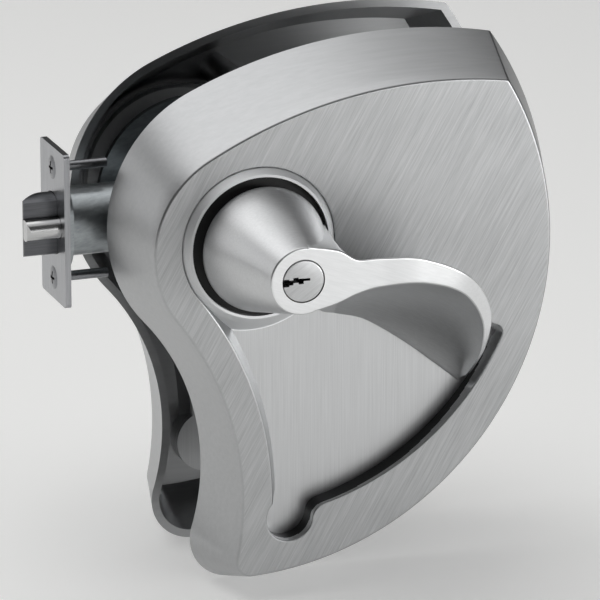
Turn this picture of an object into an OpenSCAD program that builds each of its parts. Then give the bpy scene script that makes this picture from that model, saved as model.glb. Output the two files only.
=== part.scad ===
// Cylindrical lever lockset with a drafted shield escutcheon on each side of the door.
// Origin on the spindle axis at the middle of the door; -Y is the outside, +X points away
// from the latch edge, +Z is up. Millimetres.

/* [Door] */
// Thickness of the door that the lockset clamps
door_t = 44.45; // [35:0.05:57]
// Distance from the door edge to the spindle axis
backset = 60.3; // [58:0.1:75]
// Radius of the round cross bore in the door
cross_bore_r = 27; // [27:0.1:30]

/* [Escutcheon] */
// Height of the front face above the door
trim_depth = 30; // [26:0.5:36]
// Wall of the cast shell
wall = 3; // [2:0.1:4]
// Radius of the rounded nose at the door
base_nose_r = 53.2; // [48:0.1:58]
// Nose centre at the door, across
base_nose_x = 6.2; // [3:0.1:10]
// Nose centre at the door, up
base_nose_y = 1.5; // [-2:0.1:5]
// Radius of the top edge at the door
base_top_r = 187.5; // [170:0.5:210]
// Direction in which the nose runs into the top edge at the door
base_top_turn = 114.2; // [110:0.1:118]
// Radius of the hollow flank at the door
base_flank_r = 83.6; // [76:0.1:92]
// Direction in which the nose runs into the flank at the door
base_flank_turn = 221.7; // [219:0.1:224]
// Radius of the nose at the front face
front_nose_r = 39.1; // [36:0.1:43]
// Nose centre at the front face, across
front_nose_x = 0.2; // [-2:0.1:3]
// Nose centre at the front face, up
front_nose_y = -1.8; // [-4:0.1:1]
// Radius of the top edge at the front face
front_top_r = 177.7; // [165:0.5:195]
// Direction in which the nose runs into the top edge at the front face
front_top_turn = 118.7; // [115:0.1:122]
// Radius of the hollow flank at the front face
front_flank_r = 115; // [106:0.5:124]
// Direction in which the nose runs into the flank at the front face
front_flank_turn = 217.8; // [216:0.1:220]
// Centre of the outer edge at the front face, across
front_outer_x = -4.8; // [-7:0.1:-2]
// Centre of the outer edge at the front face, up
front_outer_y = -8.2; // [-11:0.1:-6]
// Centre of the outer edge at the door, across
base_outer_x = -2.9; // [-5:0.1:0]
// Centre of the outer edge at the door, up
base_outer_y = -9.6; // [-12:0.1:-7]
// Land between the pocket and the outer edge of the front face
outer_land = 13.5; // [11:0.1:17]
// Run of the outer wall from front face to door
outer_draft = 8.7; // [5:0.1:12]
// Rounding of the upper corner
corner_r = 1.6; // [1:0.1:6]
// Rounding of the lower tip at the door
base_tip_r = 16; // [12:0.1:18]
// Rounding of the lower tip at the front face
front_tip_r = 5.5; // [4:0.1:8]

/* [Pocket] */
// Depth of the hand pocket under the front face
pocket_depth = 9; // [7:0.1:12]
// Land between the pocket and the flank edge of the front face
flank_land = 11.4; // [9:0.1:14]
// Run of the sloped wall on the flank side of the pocket
flank_slope = 4; // [2:0.1:6]
// Upper end of the pocket, measured from level
pocket_start = -23.4; // [-25:0.1:-21]
// Radius of the drain lobe at the foot of the pocket
lobe_r = 8.8; // [7:0.1:10]
// Drain lobe centre, across
lobe_x = 11.5; // [10:0.1:13]
// Drain lobe centre, up
lobe_y = -104; // [-107:0.1:-101]
// Thickness of the pocket floor plate
pan_t = 2.5; // [2:0.1:3.5]
// Rim of the floor plate behind the pocket wall
pan_rim = 3; // [2:0.1:4]

/* [Collar] */
// Radius of the hub collar at the pocket floor
collar_foot_r = 34; // [32:0.1:36]
// Radius of the hub collar at its top
collar_top_r = 26.6; // [26:0.1:28]
// Height of the collar top above the front face
collar_rise = 2.5; // [1:0.1:3]
// Thickness of the collar wall at its top
collar_lip = 1; // [0.6:0.1:2]
// Gap round the collar in the front face
collar_gap = 0.3; // [0.2:0.05:0.6]

/* [Lever] */
// Distance from the door face to the lever face
lever_face = 77; // [70:0.5:84]
// Radius from the spindle axis to the lever tip
lever_reach = 101; // [96:0.5:106]
// Gap between the lever tip and the pocket arc
tip_gap = 2; // [1:0.1:4]
// Radius of the hub at its face
hub_face_r = 12.2; // [11.5:0.1:14]
// Radius of the hub at its foot
hub_foot_r = 23; // [21.5:0.1:24]
// Radius of the bearing journal behind the hub
journal_r = 19; // [17:0.1:20]
// Running clearance of journals in their bores
run_gap = 0.08; // [0.02:0.01:0.1]
// Angle of the lever root's upper side
root_top = -24.6; // [-26:0.1:-24.4]
// Angle of the lever root's lower side
root_foot = -38; // [-40:0.5:-34]
// Gap under the lever in the pocket
floor_gap = 0.6; // [0.4:0.1:1.5]
// Rounding of the hub face edge
hub_edge = 0.6; // [0.3:0.1:1.5]
// Rounding of the hub foot
hub_round = 3.2; // [2:0.1:3.8]

/* [Key cylinder] */
// Radius of the plug head in the hub face
plug_head_r = 7.6; // [7:0.1:8.5]
// Radius of the plug barrel
plug_r = 6.3; // [5.5:0.1:6.8]
// Depth of the plug head
plug_head_t = 5; // [3:0.1:7]
// Gap round the plug head
plug_gap = 0.25; // [0.15:0.05:0.4]
// Length of the keyway slot
keyway_l = 9.4; // [8:0.1:11]
// Width of the keyway slot
keyway_w = 1.7; // [1.2:0.1:2.2]
// Depth of the keyway slot
keyway_d = 20; // [10:1:24]

/* [Spindle and chassis] */
// Radius of the spindle tube
spindle_r = 9.5; // [8.6:0.1:10.5]
// Wall of the spindle tube
spindle_wall = 1.6; // [1:0.1:2.2]
// Depth of the spindle socket in the lever, above the door
socket_z = 46; // [42:0.5:50]
// Radius of the chassis housing
chassis_r = 25; // [24.5:0.1:26]
// Wall of the chassis housing
chassis_wall = 2; // [1.5:0.1:2.4]
// Thickness of each chassis cap
cap_t = 2.2; // [1.5:0.1:3]
// Radius of the sleeve on each chassis cap
sleeve_r = 13; // [12.5:0.1:13.5]
// Height of the cap sleeve above the door
sleeve_h = 12; // [9:0.5:13]
// Land of the round mounting plates outside the chassis bolts
plate_land = 5; // [3.5:0.1:6]
// Thickness of the mounting plates
plate_t = 2.5; // [2:0.1:3.2]
// Reach of the roll-back arm on each spindle
arm_l = 19.4; // [18:0.1:20]
// Width of the roll-back arm
arm_w = 6; // [5:0.1:6.4]
// Thickness of the roll-back arm
arm_t = 3; // [2:0.1:3.4]
// Gap between the arms and the retractor
arm_gap = 0.5; // [0.3:0.1:0.8]

/* [Retractor] */
// Length of the retractor slide
retractor_l = 23.5; // [21:0.1:24.5]
// Height of the retractor slide
retractor_h = 23; // [20:0.1:23.6]
// Thickness of the retractor slide
retractor_t = 8; // [7:0.1:9]
// Gap between the roll-back arm and the retractor lug
lug_gap = 0.3; // [0.2:0.05:0.5]
// Height of the retractor lug
lug_h = 3.5; // [2.5:0.1:4.5]

/* [Latch] */
// Width of the faceplate
face_w = 28.575; // [25:0.1:32]
// Height of the faceplate
face_h = 57.15; // [54:0.1:60]
// Thickness of the faceplate
face_t = 2.2; // [1.5:0.1:3]
// Throw of the latch bolt
throw = 12.7; // [11:0.1:14]
// Radius of the latch tube
tube_r = 12.6; // [12.2:0.1:12.7]
// Wall of the latch tube
tube_wall = 0.9; // [0.6:0.1:1]
// Radius of the latch bolt bar
bolt_r = 11.3; // [10.6:0.1:11.3]
// Half thickness of the latch bolt between its flats
bolt_half = 5.6; // [5.2:0.1:6]
// Length of the latch bolt
bolt_l = 27; // [24:0.1:29]
// Radius of the deadlatch plunger
plunger_r = 3.9; // [3.5:0.1:4.2]
// Plunger axis in front of the bolt axis
plunger_off = 7; // [6.6:0.1:7.2]
// Clearance round the bolt and plunger
bolt_gap = 0.25; // [0.15:0.05:0.4]
// Thickness of the latch tail bar
tail_t = 4; // [3:0.1:4.5]
// Height of the latch tail bar
tail_h = 6; // [5:0.1:6.5]

/* [Fasteners] */
// Radius of the trim bolts
trim_bolt_r = 2; // [1.6:0.1:2.4]
// Radius of the trim bolt heads
trim_head_r = 4.2; // [3.6:0.1:4.6]
// Height of the trim bolt heads
trim_head_t = 2; // [1.6:0.1:2.3]
// Radius of the posts that take the trim bolts
post_r = 5.5; // [5.2:0.1:6]
// Radius of the chassis bolts
chassis_bolt_r = 1.9; // [1.6:0.1:2.2]
// Distance of the chassis bolts from the spindle axis
chassis_bolt_pitch = 31; // [30:0.1:33]
// Distance of the side trim bolt from the spindle axis
side_bolt_pitch = 69; // [62:0.5:75]
// Distance of the pocket trim bolt from the spindle axis
pocket_bolt_pitch = 76; // [70:0.5:82]
// Radius of the faceplate screw heads
face_screw_r = 4.2; // [3.8:0.1:4.4]
// Distance between the faceplate screws
face_screw_pitch = 41.3; // [40:0.1:43]
// Clearance of fixed pieces in their seats
seat_gap = 0.1; // [0.05:0.01:0.2]

/* [Hidden] */
$fn = 64;
eps = 0.01;
through = 1;

// Levels above the door face
floor_z = trim_depth - pocket_depth;
collar_top_z = trim_depth + collar_rise;
hub_foot_z = collar_top_z + 0.5;
journal_foot_z = floor_z - pan_t - 3.5;
ring_z = floor_z - pan_t - 1.6;
root_z = floor_z + floor_gap;
neck_z = hub_foot_z + 1;

// Pocket and outline radii that follow the lever
pocket_r = lever_reach + tip_gap;
front_outer_r = pocket_r + outer_land;
base_outer_r = front_outer_r + outer_draft;
front_outer_c = [front_outer_x, front_outer_y];
base_outer_c = [base_outer_x, base_outer_y];
plate_r = chassis_bolt_pitch + plate_land;

// Points of each stretch of the outline, in order round the shield
OUTLINE_STEPS = [40, 6, 16, 16, 18, 10];

// Trim bolt places on the front face and, last, on the pocket floor
FACE_POSTS = [polar(side_bolt_pitch, 25.8), polar(plate_r + post_r + 1, 65)];
PAN_POST = polar(pocket_bolt_pitch, -60);

// Lever sections from the hub to the tip: root as a share of the way from collar to tip, root
// fall, lower and upper root angle, upper and lower face edge as [share of the way from hub to
// tip, angle], share of the drop to the tip
LEVER_SECTIONS = [
    [-0.299, 0, -52, 60, [0.005, 81], [-0.001, -80.5], 0],
    [-0.149, 0, -52, 15, [0.047, 37.6], [0.036, -39], 0],
    [0.007, 0.15, -50, root_top, [0.098, 16.7], [0.1, -18.8], 0],
    [0.134, 0.8, -45.5, root_top, [0.195, 10.9], [0.194, -10], 0],
    [0.313, 1, -39.5, root_top, [0.37, 4.6], [0.373, -7], 0],
    [0.567, 1, root_foot, root_top, [0.587, -5.4], [0.563, -11.1], 0.065],
    [0.791, 1, root_foot, root_top, [0.769, -17], [0.747, -20.5], 0.33],
    [0.94, 1, root_foot, root_top, [0.907, -27.6], [0.896, -29.5], 0.69],
    [1, 1, root_foot, root_top, [0.997, -34.8], [0.985, -36.2], 1]
];
section_steps = 4;
scoop_steps = 6;
tip_rise = 5;

// Places a piece drawn with z rising from the outside face of the door
module outside() {
    translate([0, -door_t / 2, 0]) rotate([90, 0, 0]) children();
}

// The same on the inside face, mirrored through the middle of the door
module inside() {
    mirror([0, 1, 0]) outside() children();
}

// Point on a circle, from its radius and angle
function polar(r, a) = [r * cos(a), r * sin(a)];

// Direction of a vector in degrees
function bearing(v) = atan2(v[1], v[0]);

// Crossing of two circles; side picks the one to the left of the line of centres when +1
function meet(c1, r1, c2, r2, side) =
    let (d = norm(c2 - c1))
    let (e = (c2 - c1) / d)
    let (a = (r1 * r1 - r2 * r2 + d * d) / (2 * d))
    let (h = sqrt(max(0, r1 * r1 - a * a)))
    c1 + a * e + side * h * [-e[1], e[0]];

// Points on an arc from angle a0 up to, not including, a1
function arc(c, r, a0, a1, n) = [for (i = [0 : n - 1]) c + polar(r, a0 + (a1 - a0) * i / n)];

// Closed chain of tangent arcs, each [centre, signed radius]; a hollow arc has a negative radius
function chain(arcs, steps) =
    let (n = len(arcs))
    let (joint = [for (i = [0 : n - 1])
        let (p = arcs[i])
        let (q = arcs[(i + 1) % n])
        bearing((q[0] - p[0]) / (p[1] - q[1]))])
    [for (i = [0 : n - 1])
        let (a0 = joint[(i + n - 1) % n])
        let (turn = (joint[i] - a0 + 720) % 360)
        let (sweep = arcs[i][1] > 0 ? turn : turn - 360)
        each arc(arcs[i][0], arcs[i][1], a0, a0 + sweep, steps[i])];

// Shield outline: outer arc, corner, top edge, nose, hollow flank and tip
function shield(nose_c, nose_r, top_turn, top_r, flank_turn, flank_r, outer_c, outer_r, tip_r, inset) =
    let (top_c = nose_c - polar(top_r - nose_r, top_turn))
    let (flank_c = nose_c + polar(flank_r + nose_r, flank_turn))
    let (cr = max(corner_r - inset, corner_r / 4))
    let (tr = max(tip_r - inset, tip_r / 4))
    let (o_r = outer_r - inset)
    let (t_r = top_r - inset)
    let (f_r = flank_r + inset)
    let (corner_c = meet(outer_c, o_r - cr, top_c, t_r - cr, 1))
    let (tip_c = meet(outer_c, o_r - tr, flank_c, f_r + tr, 1))
    chain([[outer_c, o_r], [corner_c, cr], [top_c, t_r], [nose_c, nose_r - inset],
        [flank_c, -f_r], [tip_c, tr]], OUTLINE_STEPS);

function base_outline(inset) = shield([base_nose_x, base_nose_y], base_nose_r, base_top_turn,
    base_top_r, base_flank_turn, base_flank_r, base_outer_c, base_outer_r, base_tip_r, inset);

function front_outline(inset) = shield([front_nose_x, front_nose_y], front_nose_r,
    front_top_turn, front_top_r, front_flank_turn, front_flank_r, front_outer_c,
    front_outer_r, front_tip_r, inset);

// Outline between two others of as many points
function between(p, q, k) = [for (i = [0 : len(p) - 1]) p[i] + (q[i] - p[i]) * k];

// Shell outline at a height above the door
function shell_outline(inset, z) =
    between(base_outline(inset), front_outline(inset), z / trim_depth);

front_flank_c = [front_nose_x, front_nose_y]
    + polar(front_flank_r + front_nose_r, front_flank_turn);

// Radius of the pocket's flank wall about the flank centre, at a height above the door
function pocket_wall_r(z) =
    front_flank_r + flank_land + flank_slope * (trim_depth - z) / pocket_depth;

// Plan of the pocket without its flank wall: swept arc, upper end and drain lobe, grown outwards
module pocket_sweep(grow) {
    far = 2 * pocket_r;
    apex = polar(grow, pocket_start + 90);
    intersection() {
        circle(r = pocket_r + grow, $fn = 160);
        polygon([apex, apex + polar(far, pocket_start), [far, -far], [-far / 3, -far],
            [1 - collar_top_r, -collar_top_r / 3]]);
    }
}

// Hand pocket between two heights, grown outwards
module pocket(z0, z1, grow) {
    difference() {
        translate([0, 0, z0]) linear_extrude(z1 - z0) pocket_sweep(grow);
        translate([front_flank_c[0], front_flank_c[1], z0])
            cylinder(h = z1 - z0, r1 = pocket_wall_r(z0) - grow, r2 = pocket_wall_r(z1) - grow, $fn = 160);
    }
    translate([lobe_x, lobe_y, z0]) cylinder(h = z1 - z0, r = lobe_r + grow);
}

// Middle of a list of points
function middle(points) =
    [for (axis = [0 : 2]) [for (p = points) p[axis]] * [for (p = points) 1 / len(points)]];

// Solid through a stack of closed rings of 3-D points, each turning left seen from the last
module skin(rings) {
    n = len(rings[0]);
    last = len(rings) - 1;
    foot = (last + 1) * n;
    sides = [for (k = [0 : last - 1]) for (i = [0 : n - 1])
        let (j = (i + 1) % n)
        each [[k * n + i, (k + 1) * n + i, (k + 1) * n + j], [k * n + i, (k + 1) * n + j, k * n + j]]];
    caps = [for (i = [0 : n - 1])
        let (j = (i + 1) % n)
        each [[foot, i, j], [foot + 1, last * n + j, last * n + i]]];
    polyhedron(points = concat([for (r = rings) each r], [middle(rings[0]), middle(rings[last])]),
        faces = concat(sides, caps));
}

// Ring of 3-D points from a flat outline and its height
function lift(outline, z) = [for (p = outline) [p[0], p[1], z]];

// Solid between two flat outlines
module slab(low, z0, high, z1) {
    skin([lift(low, z0), lift(high, z1)]);
}

// Cone of the hub collar, grown by a gap
module collar_cone(grow, z0, z1) {
    slope = (collar_foot_r - collar_top_r) / (collar_top_z - floor_z);
    r0 = collar_foot_r - (z0 - floor_z) * slope + grow;
    r1 = collar_foot_r - (z1 - floor_z) * slope + grow;
    translate([0, 0, z0]) cylinder(h = z1 - z0, r1 = r0, r2 = r1);
}

// Cast shield with an open back, a pocket wall behind the opening and bolt posts
module shell() {
    difference() {
        union() {
            difference() {
                slab(base_outline(0), 0, front_outline(0), trim_depth);
                slab(shell_outline(wall, -through), -through,
                    shell_outline(wall, trim_depth - wall), trim_depth - wall);
            }
            pocket(floor_z, trim_depth - wall / 2, pan_rim);
            for (p = FACE_POSTS) {
                translate(p) cylinder(h = trim_depth - wall / 2, r = post_r);
            }
        }
        pocket(floor_z - through, trim_depth + through, 0);
        collar_cone(collar_gap, floor_z - through, trim_depth + through);
    }
}

// Plan of the floor plate under the pocket and the hub
module pan_outline() {
    difference() {
        pocket_sweep(pan_rim);
        translate(front_flank_c) circle(r = pocket_wall_r(floor_z) - pan_rim, $fn = 160);
    }
    translate([lobe_x, lobe_y]) circle(r = lobe_r + pan_rim);
    circle(r = plate_r);
}

// Pocket floor with the hub collar and the lower bolt post
module pan() {
    bore_r = collar_top_r - collar_lip;
    difference() {
        union() {
            translate([0, 0, floor_z - pan_t]) linear_extrude(pan_t) pan_outline();
            collar_cone(0, floor_z - eps, collar_top_z);
            translate(PAN_POST) cylinder(h = floor_z - pan_t + eps, r = post_r);
        }
        translate([0, 0, -through]) cylinder(h = collar_top_z + 2 * through, r = bore_r);
    }
}

// Moulded bearing ring between collar and journal
module bushing() {
    bore_r = journal_r + run_gap;
    outer_r = collar_top_r - collar_lip - seat_gap;
    translate([0, 0, floor_z - pan_t]) difference() {
        cylinder(h = pocket_depth + pan_t, r = outer_r);
        translate([0, 0, -through]) cylinder(h = pocket_depth + pan_t + 2 * through, r = bore_r);
    }
}

// Round plate that clamps the chassis to the door face
module mounting_plate(hole_r) {
    linear_extrude(plate_t) difference() {
        circle(r = plate_r);
        circle(r = sleeve_r + seat_gap);
        for (s = [-1, 1]) translate([0, s * chassis_bolt_pitch]) circle(r = hole_r);
    }
}

// Coil of round wire about z: mean radius, wire radius, start height, height and turns
module coil(r, wire, z0, h, turns, sides, per_turn) {
    n = turns * per_turn;
    rings = [for (k = [0 : n])
        let (a = 360 * k / per_turn)
        [for (i = [0 : sides - 1])
            let (b = -360 * i / sides)
            [(r + wire * cos(b)) * cos(a), (r + wire * cos(b)) * sin(a),
                z0 + wire + (h - 2 * wire) * k / n + wire * sin(b)]]];
    skin(rings);
}

// Torsion spring that returns the lever
module return_spring() {
    coil(sleeve_r + 2.2, 1, plate_t + 0.2, journal_foot_z - plate_t - 0.5, 4, 6, 16);
}

// End cap of the chassis with the sleeve that carries the spindle
module chassis_cap() {
    difference() {
        union() {
            translate([0, 0, -cap_t]) cylinder(h = cap_t, r = cross_bore_r - 0.5);
            cylinder(h = sleeve_h, r = sleeve_r);
        }
        translate([0, 0, -cap_t - through])
            cylinder(h = cap_t + sleeve_h + 2 * through, r = spindle_r + run_gap);
    }
}

// Point on an edge of the lever face, which falls to the pocket floor at the tip
function face_point(s, edge) =
    let (r = hub_face_r + s[edge][0] * (lever_reach - hub_face_r))
    let (p = polar(r, s[edge][1]))
    [p[0], p[1], lever_face - s[6] * (lever_face - root_z - tip_rise)];

// Point on an edge of the lever root; the raised one is the foot of the back
function root_point(s, angle, raised) =
    let (p = polar(collar_foot_r + s[0] * (lever_reach - collar_foot_r), s[angle]))
    let (low = neck_z + (root_z - neck_z) * s[1])
    let (back = min(trim_depth + 1, face_point(s, 4)[2] + 1))
    [p[0], p[1], raised ? max(low + 0.5, back) : low];

// Smooth curve through four neighbouring values
function glide(a, b, c, d, t) =
    0.5 * (2 * b + (c - a) * t + (2 * a - 5 * b + 4 * c - d) * t * t
        + (3 * b - a - 3 * c + d) * t * t * t);

// Smooth point along the list of lever sections
function along(list, u) =
    let (n = len(list) - 1)
    let (i = min(floor(u), n - 1))
    let (a = i > 0 ? list[i - 1] : 2 * list[0] - list[1])
    let (d = i + 2 <= n ? list[i + 2] : 2 * list[n] - list[n - 1])
    glide(a, list[i], list[i + 1], d, u - i);

// Straight point along the list
function straight(list, u) =
    let (i = min(floor(u), len(list) - 2))
    list[i] + (list[i + 1] - list[i]) * (u - i);

// Outline of the blade at one place: face, scooped underside, root and back
function blade_ring(tops, feet, root_low, root_high, root_back, u) =
    let (a = along(tops, u))
    let (b = along(feet, u))
    let (c = straight(root_low, u))
    let (q = [b[0] + 0.3 * (c[0] - b[0]), b[1] + 0.3 * (c[1] - b[1]), b[2] + 0.7 * (c[2] - b[2])])
    concat([a],
        [for (k = [0 : scoop_steps])
            let (t = k / scoop_steps)
            b * (1 - t) * (1 - t) + q * 2 * t * (1 - t) + c * t * t],
        [straight(root_high, u), straight(root_back, u)]);

// Curved blade that sweeps from the hub down to the pocket
module blade() {
    tops = [for (s = LEVER_SECTIONS) face_point(s, 4)];
    feet = [for (s = LEVER_SECTIONS) face_point(s, 5)];
    low = [for (s = LEVER_SECTIONS) root_point(s, 2, false)];
    high = [for (s = LEVER_SECTIONS) root_point(s, 3, false)];
    back = [for (s = LEVER_SECTIONS) root_point(s, 3, true)];
    n = (len(LEVER_SECTIONS) - 1) * section_steps;
    skin([for (k = [0 : n]) blade_ring(tops, feet, low, high, back, k / section_steps)]);
}

// Turned hub with its bearing journal
module hub() {
    rotate_extrude() polygon([
        [0, journal_foot_z],
        [journal_r, journal_foot_z],
        [journal_r, hub_foot_z],
        for (a = [0 : 15 : 90])
            [hub_foot_r - hub_round * (1 - sin(a)), hub_foot_z + hub_round * (1 - cos(a))],
        [hub_face_r, lever_face - hub_edge],
        [hub_face_r - hub_edge, lever_face],
        [0, lever_face]
    ]);
}

// Lever casting with its spindle socket, ring groove and set screw hole
module lever_body() {
    difference() {
        union() {
            hub();
            blade();
        }
        translate([0, 0, journal_foot_z - through])
            cylinder(h = socket_z - journal_foot_z + through, r = spindle_r + seat_gap);
        translate([0, 0, ring_z - seat_gap]) difference() {
            cylinder(h = 1.5 + 2 * seat_gap, r = journal_r + through);
            cylinder(h = 1.5 + 2 * seat_gap, r = journal_r - 1.7);
        }
        set_screw_cut(screw_r + seat_gap, spindle_r - 0.5, hub_foot_r + 3);
    }
}

screw_r = 2;
screw_z = hub_foot_z + 6;

// Radial cylinder under the hub for the set screw
module set_screw_cut(r, from, to) {
    translate([0, -from, screw_z]) rotate([90, 0, 0]) cylinder(h = to - from, r = r);
}

// Set screw that bears on the spindle
module set_screw() {
    set_screw_cut(screw_r, spindle_r + 0.05, spindle_r + 8);
}

// Split ring in the journal groove
module retaining_ring() {
    translate([0, 0, ring_z]) linear_extrude(1.5) difference() {
        circle(r = journal_r + 3);
        circle(r = journal_r - 1.6);
        translate([0, journal_r]) square([5, 12], center = true);
    }
}

// Tube that joins lever and chassis, ending in the roll-back arm
module spindle() {
    cam_foot = -door_t / 2 + retractor_t / 2 + arm_gap;
    tube_foot = cam_foot + arm_t + 0.8;
    difference() {
        union() {
            translate([0, 0, tube_foot]) cylinder(h = socket_z - tube_foot - 0.2, r = spindle_r);
            translate([0, 0, cam_foot]) cylinder(h = arm_t + 0.8 + eps, r = spindle_r - 2);
            translate([-arm_w / 2, 0, cam_foot]) cube([arm_w, arm_l, arm_t]);
        }
        translate([0, 0, tube_foot + eps])
            cylinder(h = socket_z - tube_foot, r = spindle_r - spindle_wall);
    }
}

// Cylinder shell that holds the plug in the lever hub
cylinder_foot_z = socket_z + 0.5;
cylinder_top_z = lever_face - plug_head_t;
module cylinder_shell() {
    difference() {
        translate([0, 0, cylinder_foot_z])
            cylinder(h = cylinder_top_z - cylinder_foot_z, r = spindle_r);
        translate([0, 0, cylinder_foot_z - through])
            cylinder(h = lever_face, r = plug_r + run_gap);
    }
}

// Plug with its head and a stepped keyway
module plug() {
    difference() {
        union() {
            translate([0, 0, cylinder_foot_z])
                cylinder(h = cylinder_top_z - cylinder_foot_z + 1, r = plug_r);
            translate([0, 0, cylinder_top_z + 0.05])
                cylinder(h = plug_head_t - 0.05, r = plug_head_r);
        }
        translate([-plug_head_r + 0.5, -keyway_w / 2, lever_face - keyway_d]) {
            cube([keyway_l, keyway_w, keyway_d + through]);
            translate([keyway_l * 0.25, -keyway_w * 0.3, 0])
                cube([keyway_l * 0.25, keyway_w, keyway_d + through]);
        }
    }
}

// Flat bar from the plug to the chassis, with its key cam
module tail_bar() {
    cam_z = -door_t / 2 + retractor_t / 2 + arm_gap + arm_t + 2;
    bore = spindle_r - spindle_wall;
    translate([-0.8, -2.5, cam_z + 3]) cube([1.6, 5, cylinder_foot_z - cam_z - 3]);
    translate([0, 0, cam_z]) cylinder(h = 3 + eps, r = bore - 0.3);
}

// Open drum between the caps, with a window for the latch
module housing() {
    length = door_t - 2 * cap_t;
    rotate([90, 0, 0]) difference() {
        cylinder(h = length, r = chassis_r, center = true);
        cylinder(h = length + 2 * through, r = chassis_r - chassis_wall, center = true);
        rotate([0, -90, 0]) cylinder(h = chassis_r + through, r = tube_r + seat_gap);
    }
}

// Slide that the roll-back arm pushes, with a jaw for the latch tail
retractor_x0 = arm_w / 2 + lug_gap + 2.7 - retractor_l;
jaw_x0 = retractor_x0 + 2.4;
jaw_l = 3.4;
spring_seat_x = jaw_x0 + jaw_l + 1;
spring_z = 7;
module retractor_body() {
    lug_x = arm_w / 2 + lug_gap;
    translate([retractor_x0, 0, 0]) difference() {
        translate([0, -retractor_t / 2, -retractor_h / 2])
            cube([retractor_l, retractor_t, retractor_h]);
        translate([-through, -tail_t / 2 - bolt_gap, -tail_h / 2 - bolt_gap])
            cube([4, tail_t + 2 * bolt_gap, tail_h + 2 * bolt_gap]);
        translate([jaw_x0 - retractor_x0, -tail_t / 2 - bolt_gap, -retractor_h / 2 - through])
            cube([jaw_l, tail_t + 2 * bolt_gap, retractor_h / 2 + through + tail_h]);
        for (s = [-1, 1]) translate([spring_seat_x - retractor_x0, 0, s * spring_z])
            rotate([0, 90, 0]) cylinder(h = retractor_l, r = 3);
    }
    translate([lug_x, -retractor_t / 2 - arm_gap - arm_t - 0.5, retractor_h / 2 - lug_h])
        cube([2.7, arm_gap + arm_t + 0.5 + eps, lug_h]);
}

// Pair of springs that push the retractor towards the latch
module retractor_coils() {
    far_x = sqrt(pow(chassis_r - chassis_wall, 2) - pow(spring_z + 3, 2)) - 0.2;
    for (s = [-1, 1]) translate([spring_seat_x + 0.1, 0, s * spring_z]) rotate([0, 90, 0])
        coil(2.3, 0.4, 0, far_x - spring_seat_x - 0.1, 7, 6, 10);
}

// Latch sections along the bolt axis, from the door edge inwards
edge_x = -backset;
tip_x = edge_x - throw;
bolt_x1 = tip_x + bolt_l;
tube_x1 = 3.5 - chassis_r;
end_plug_t = 2;
tail_grip = 8;
tail_off = 1.6;
groove_x1 = bolt_x1 - 1;
plunger_back = bolt_half - 0.6;

// Outline of the bolt bar: a round with two flats, grown by a gap
module bolt_outline(grow) {
    intersection() {
        circle(r = bolt_r + grow);
        square([2 * (bolt_half + grow), 4 * bolt_r], center = true);
    }
}

// Half-round section of the plunger, flat towards the bolt
module plunger_outline(grow) {
    intersection() {
        translate([-plunger_off, 0]) circle(r = plunger_r + grow);
        translate([grow - plunger_back - 4 * plunger_r, -2 * plunger_r]) square(4 * plunger_r);
    }
}

// Draws a flat outline, with its first axis along Y and its second along Z, from x0 for a length
module along_x(x0, length) {
    translate([x0, 0, 0]) rotate([90, 0, 90]) linear_extrude(length) children();
}

// Rounded plate in the door edge
module edge_plate(x0, t, height, width, hole_grow) {
    rounding = 1.5;
    difference() {
        along_x(x0, t) hull() for (y = [-1, 1]) for (z = [-1, 1])
            translate([y * (width / 2 - rounding), z * (height / 2 - rounding)])
                circle(r = rounding, $fn = 24);
        along_x(x0 - through, t + 2 * through) {
            bolt_outline(hole_grow);
            plunger_outline(hole_grow);
        }
        for (z = [-1, 1]) translate([x0, 0, z * face_screw_pitch / 2]) rotate([0, 90, 0])
            screw_hole(t);
    }
}

// Countersunk hole from the door edge
module screw_hole(t) {
    translate([0, 0, -eps]) cylinder(h = t + 2 * eps, r1 = face_screw_r + 0.1, r2 = face_screw_r - t + 0.1);
}

module plate_front() {
    edge_plate(edge_x, face_t, face_h, face_w, bolt_gap);
}

// Inner plate of the latch, staked to the tube
module plate_back() {
    inner_h = face_screw_pitch - 2 * face_screw_r;
    difference() {
        along_x(edge_x + face_t, 1.5) hull() for (z = [-1, 1])
            translate([0, z * (inner_h / 2 - tube_r)]) circle(r = tube_r + 1);
        along_x(edge_x + face_t - through, 1.5 + 2 * through) {
            bolt_outline(bolt_gap);
            plunger_outline(bolt_gap);
        }
    }
}

// Countersunk screws of the faceplate
module plate_screws() {
    for (z = [-1, 1]) translate([edge_x, 0, z * face_screw_pitch / 2]) rotate([0, 90, 0]) {
        difference() {
            cylinder(h = face_t, r1 = face_screw_r, r2 = face_screw_r - face_t);
            translate([0, 0, -through]) linear_extrude(through + 1) for (a = [0, 90])
                rotate(a) square([face_screw_r, 0.8], center = true);
        }
        translate([0, 0, face_t - eps]) cylinder(h = 18, r = face_screw_r - face_t - 0.2);
    }
}

tube_x0 = edge_x + face_t + 1.5;
module tube() {
    difference() {
        along_x(tube_x0, tube_x1 - tube_x0) circle(r = tube_r);
        along_x(tube_x0 - through, tube_x1 - tube_x0 + 2 * through) circle(r = tube_r - tube_wall);
    }
}

// Slotted disc that closes the tube and seats the latch spring
module end_plug() {
    along_x(tube_x1 - end_plug_t, end_plug_t) difference() {
        circle(r = tube_r - tube_wall - 0.05);
        square([tail_t + 2 * bolt_gap, tail_h + 2 * bolt_gap], center = true);
    }
}

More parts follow.
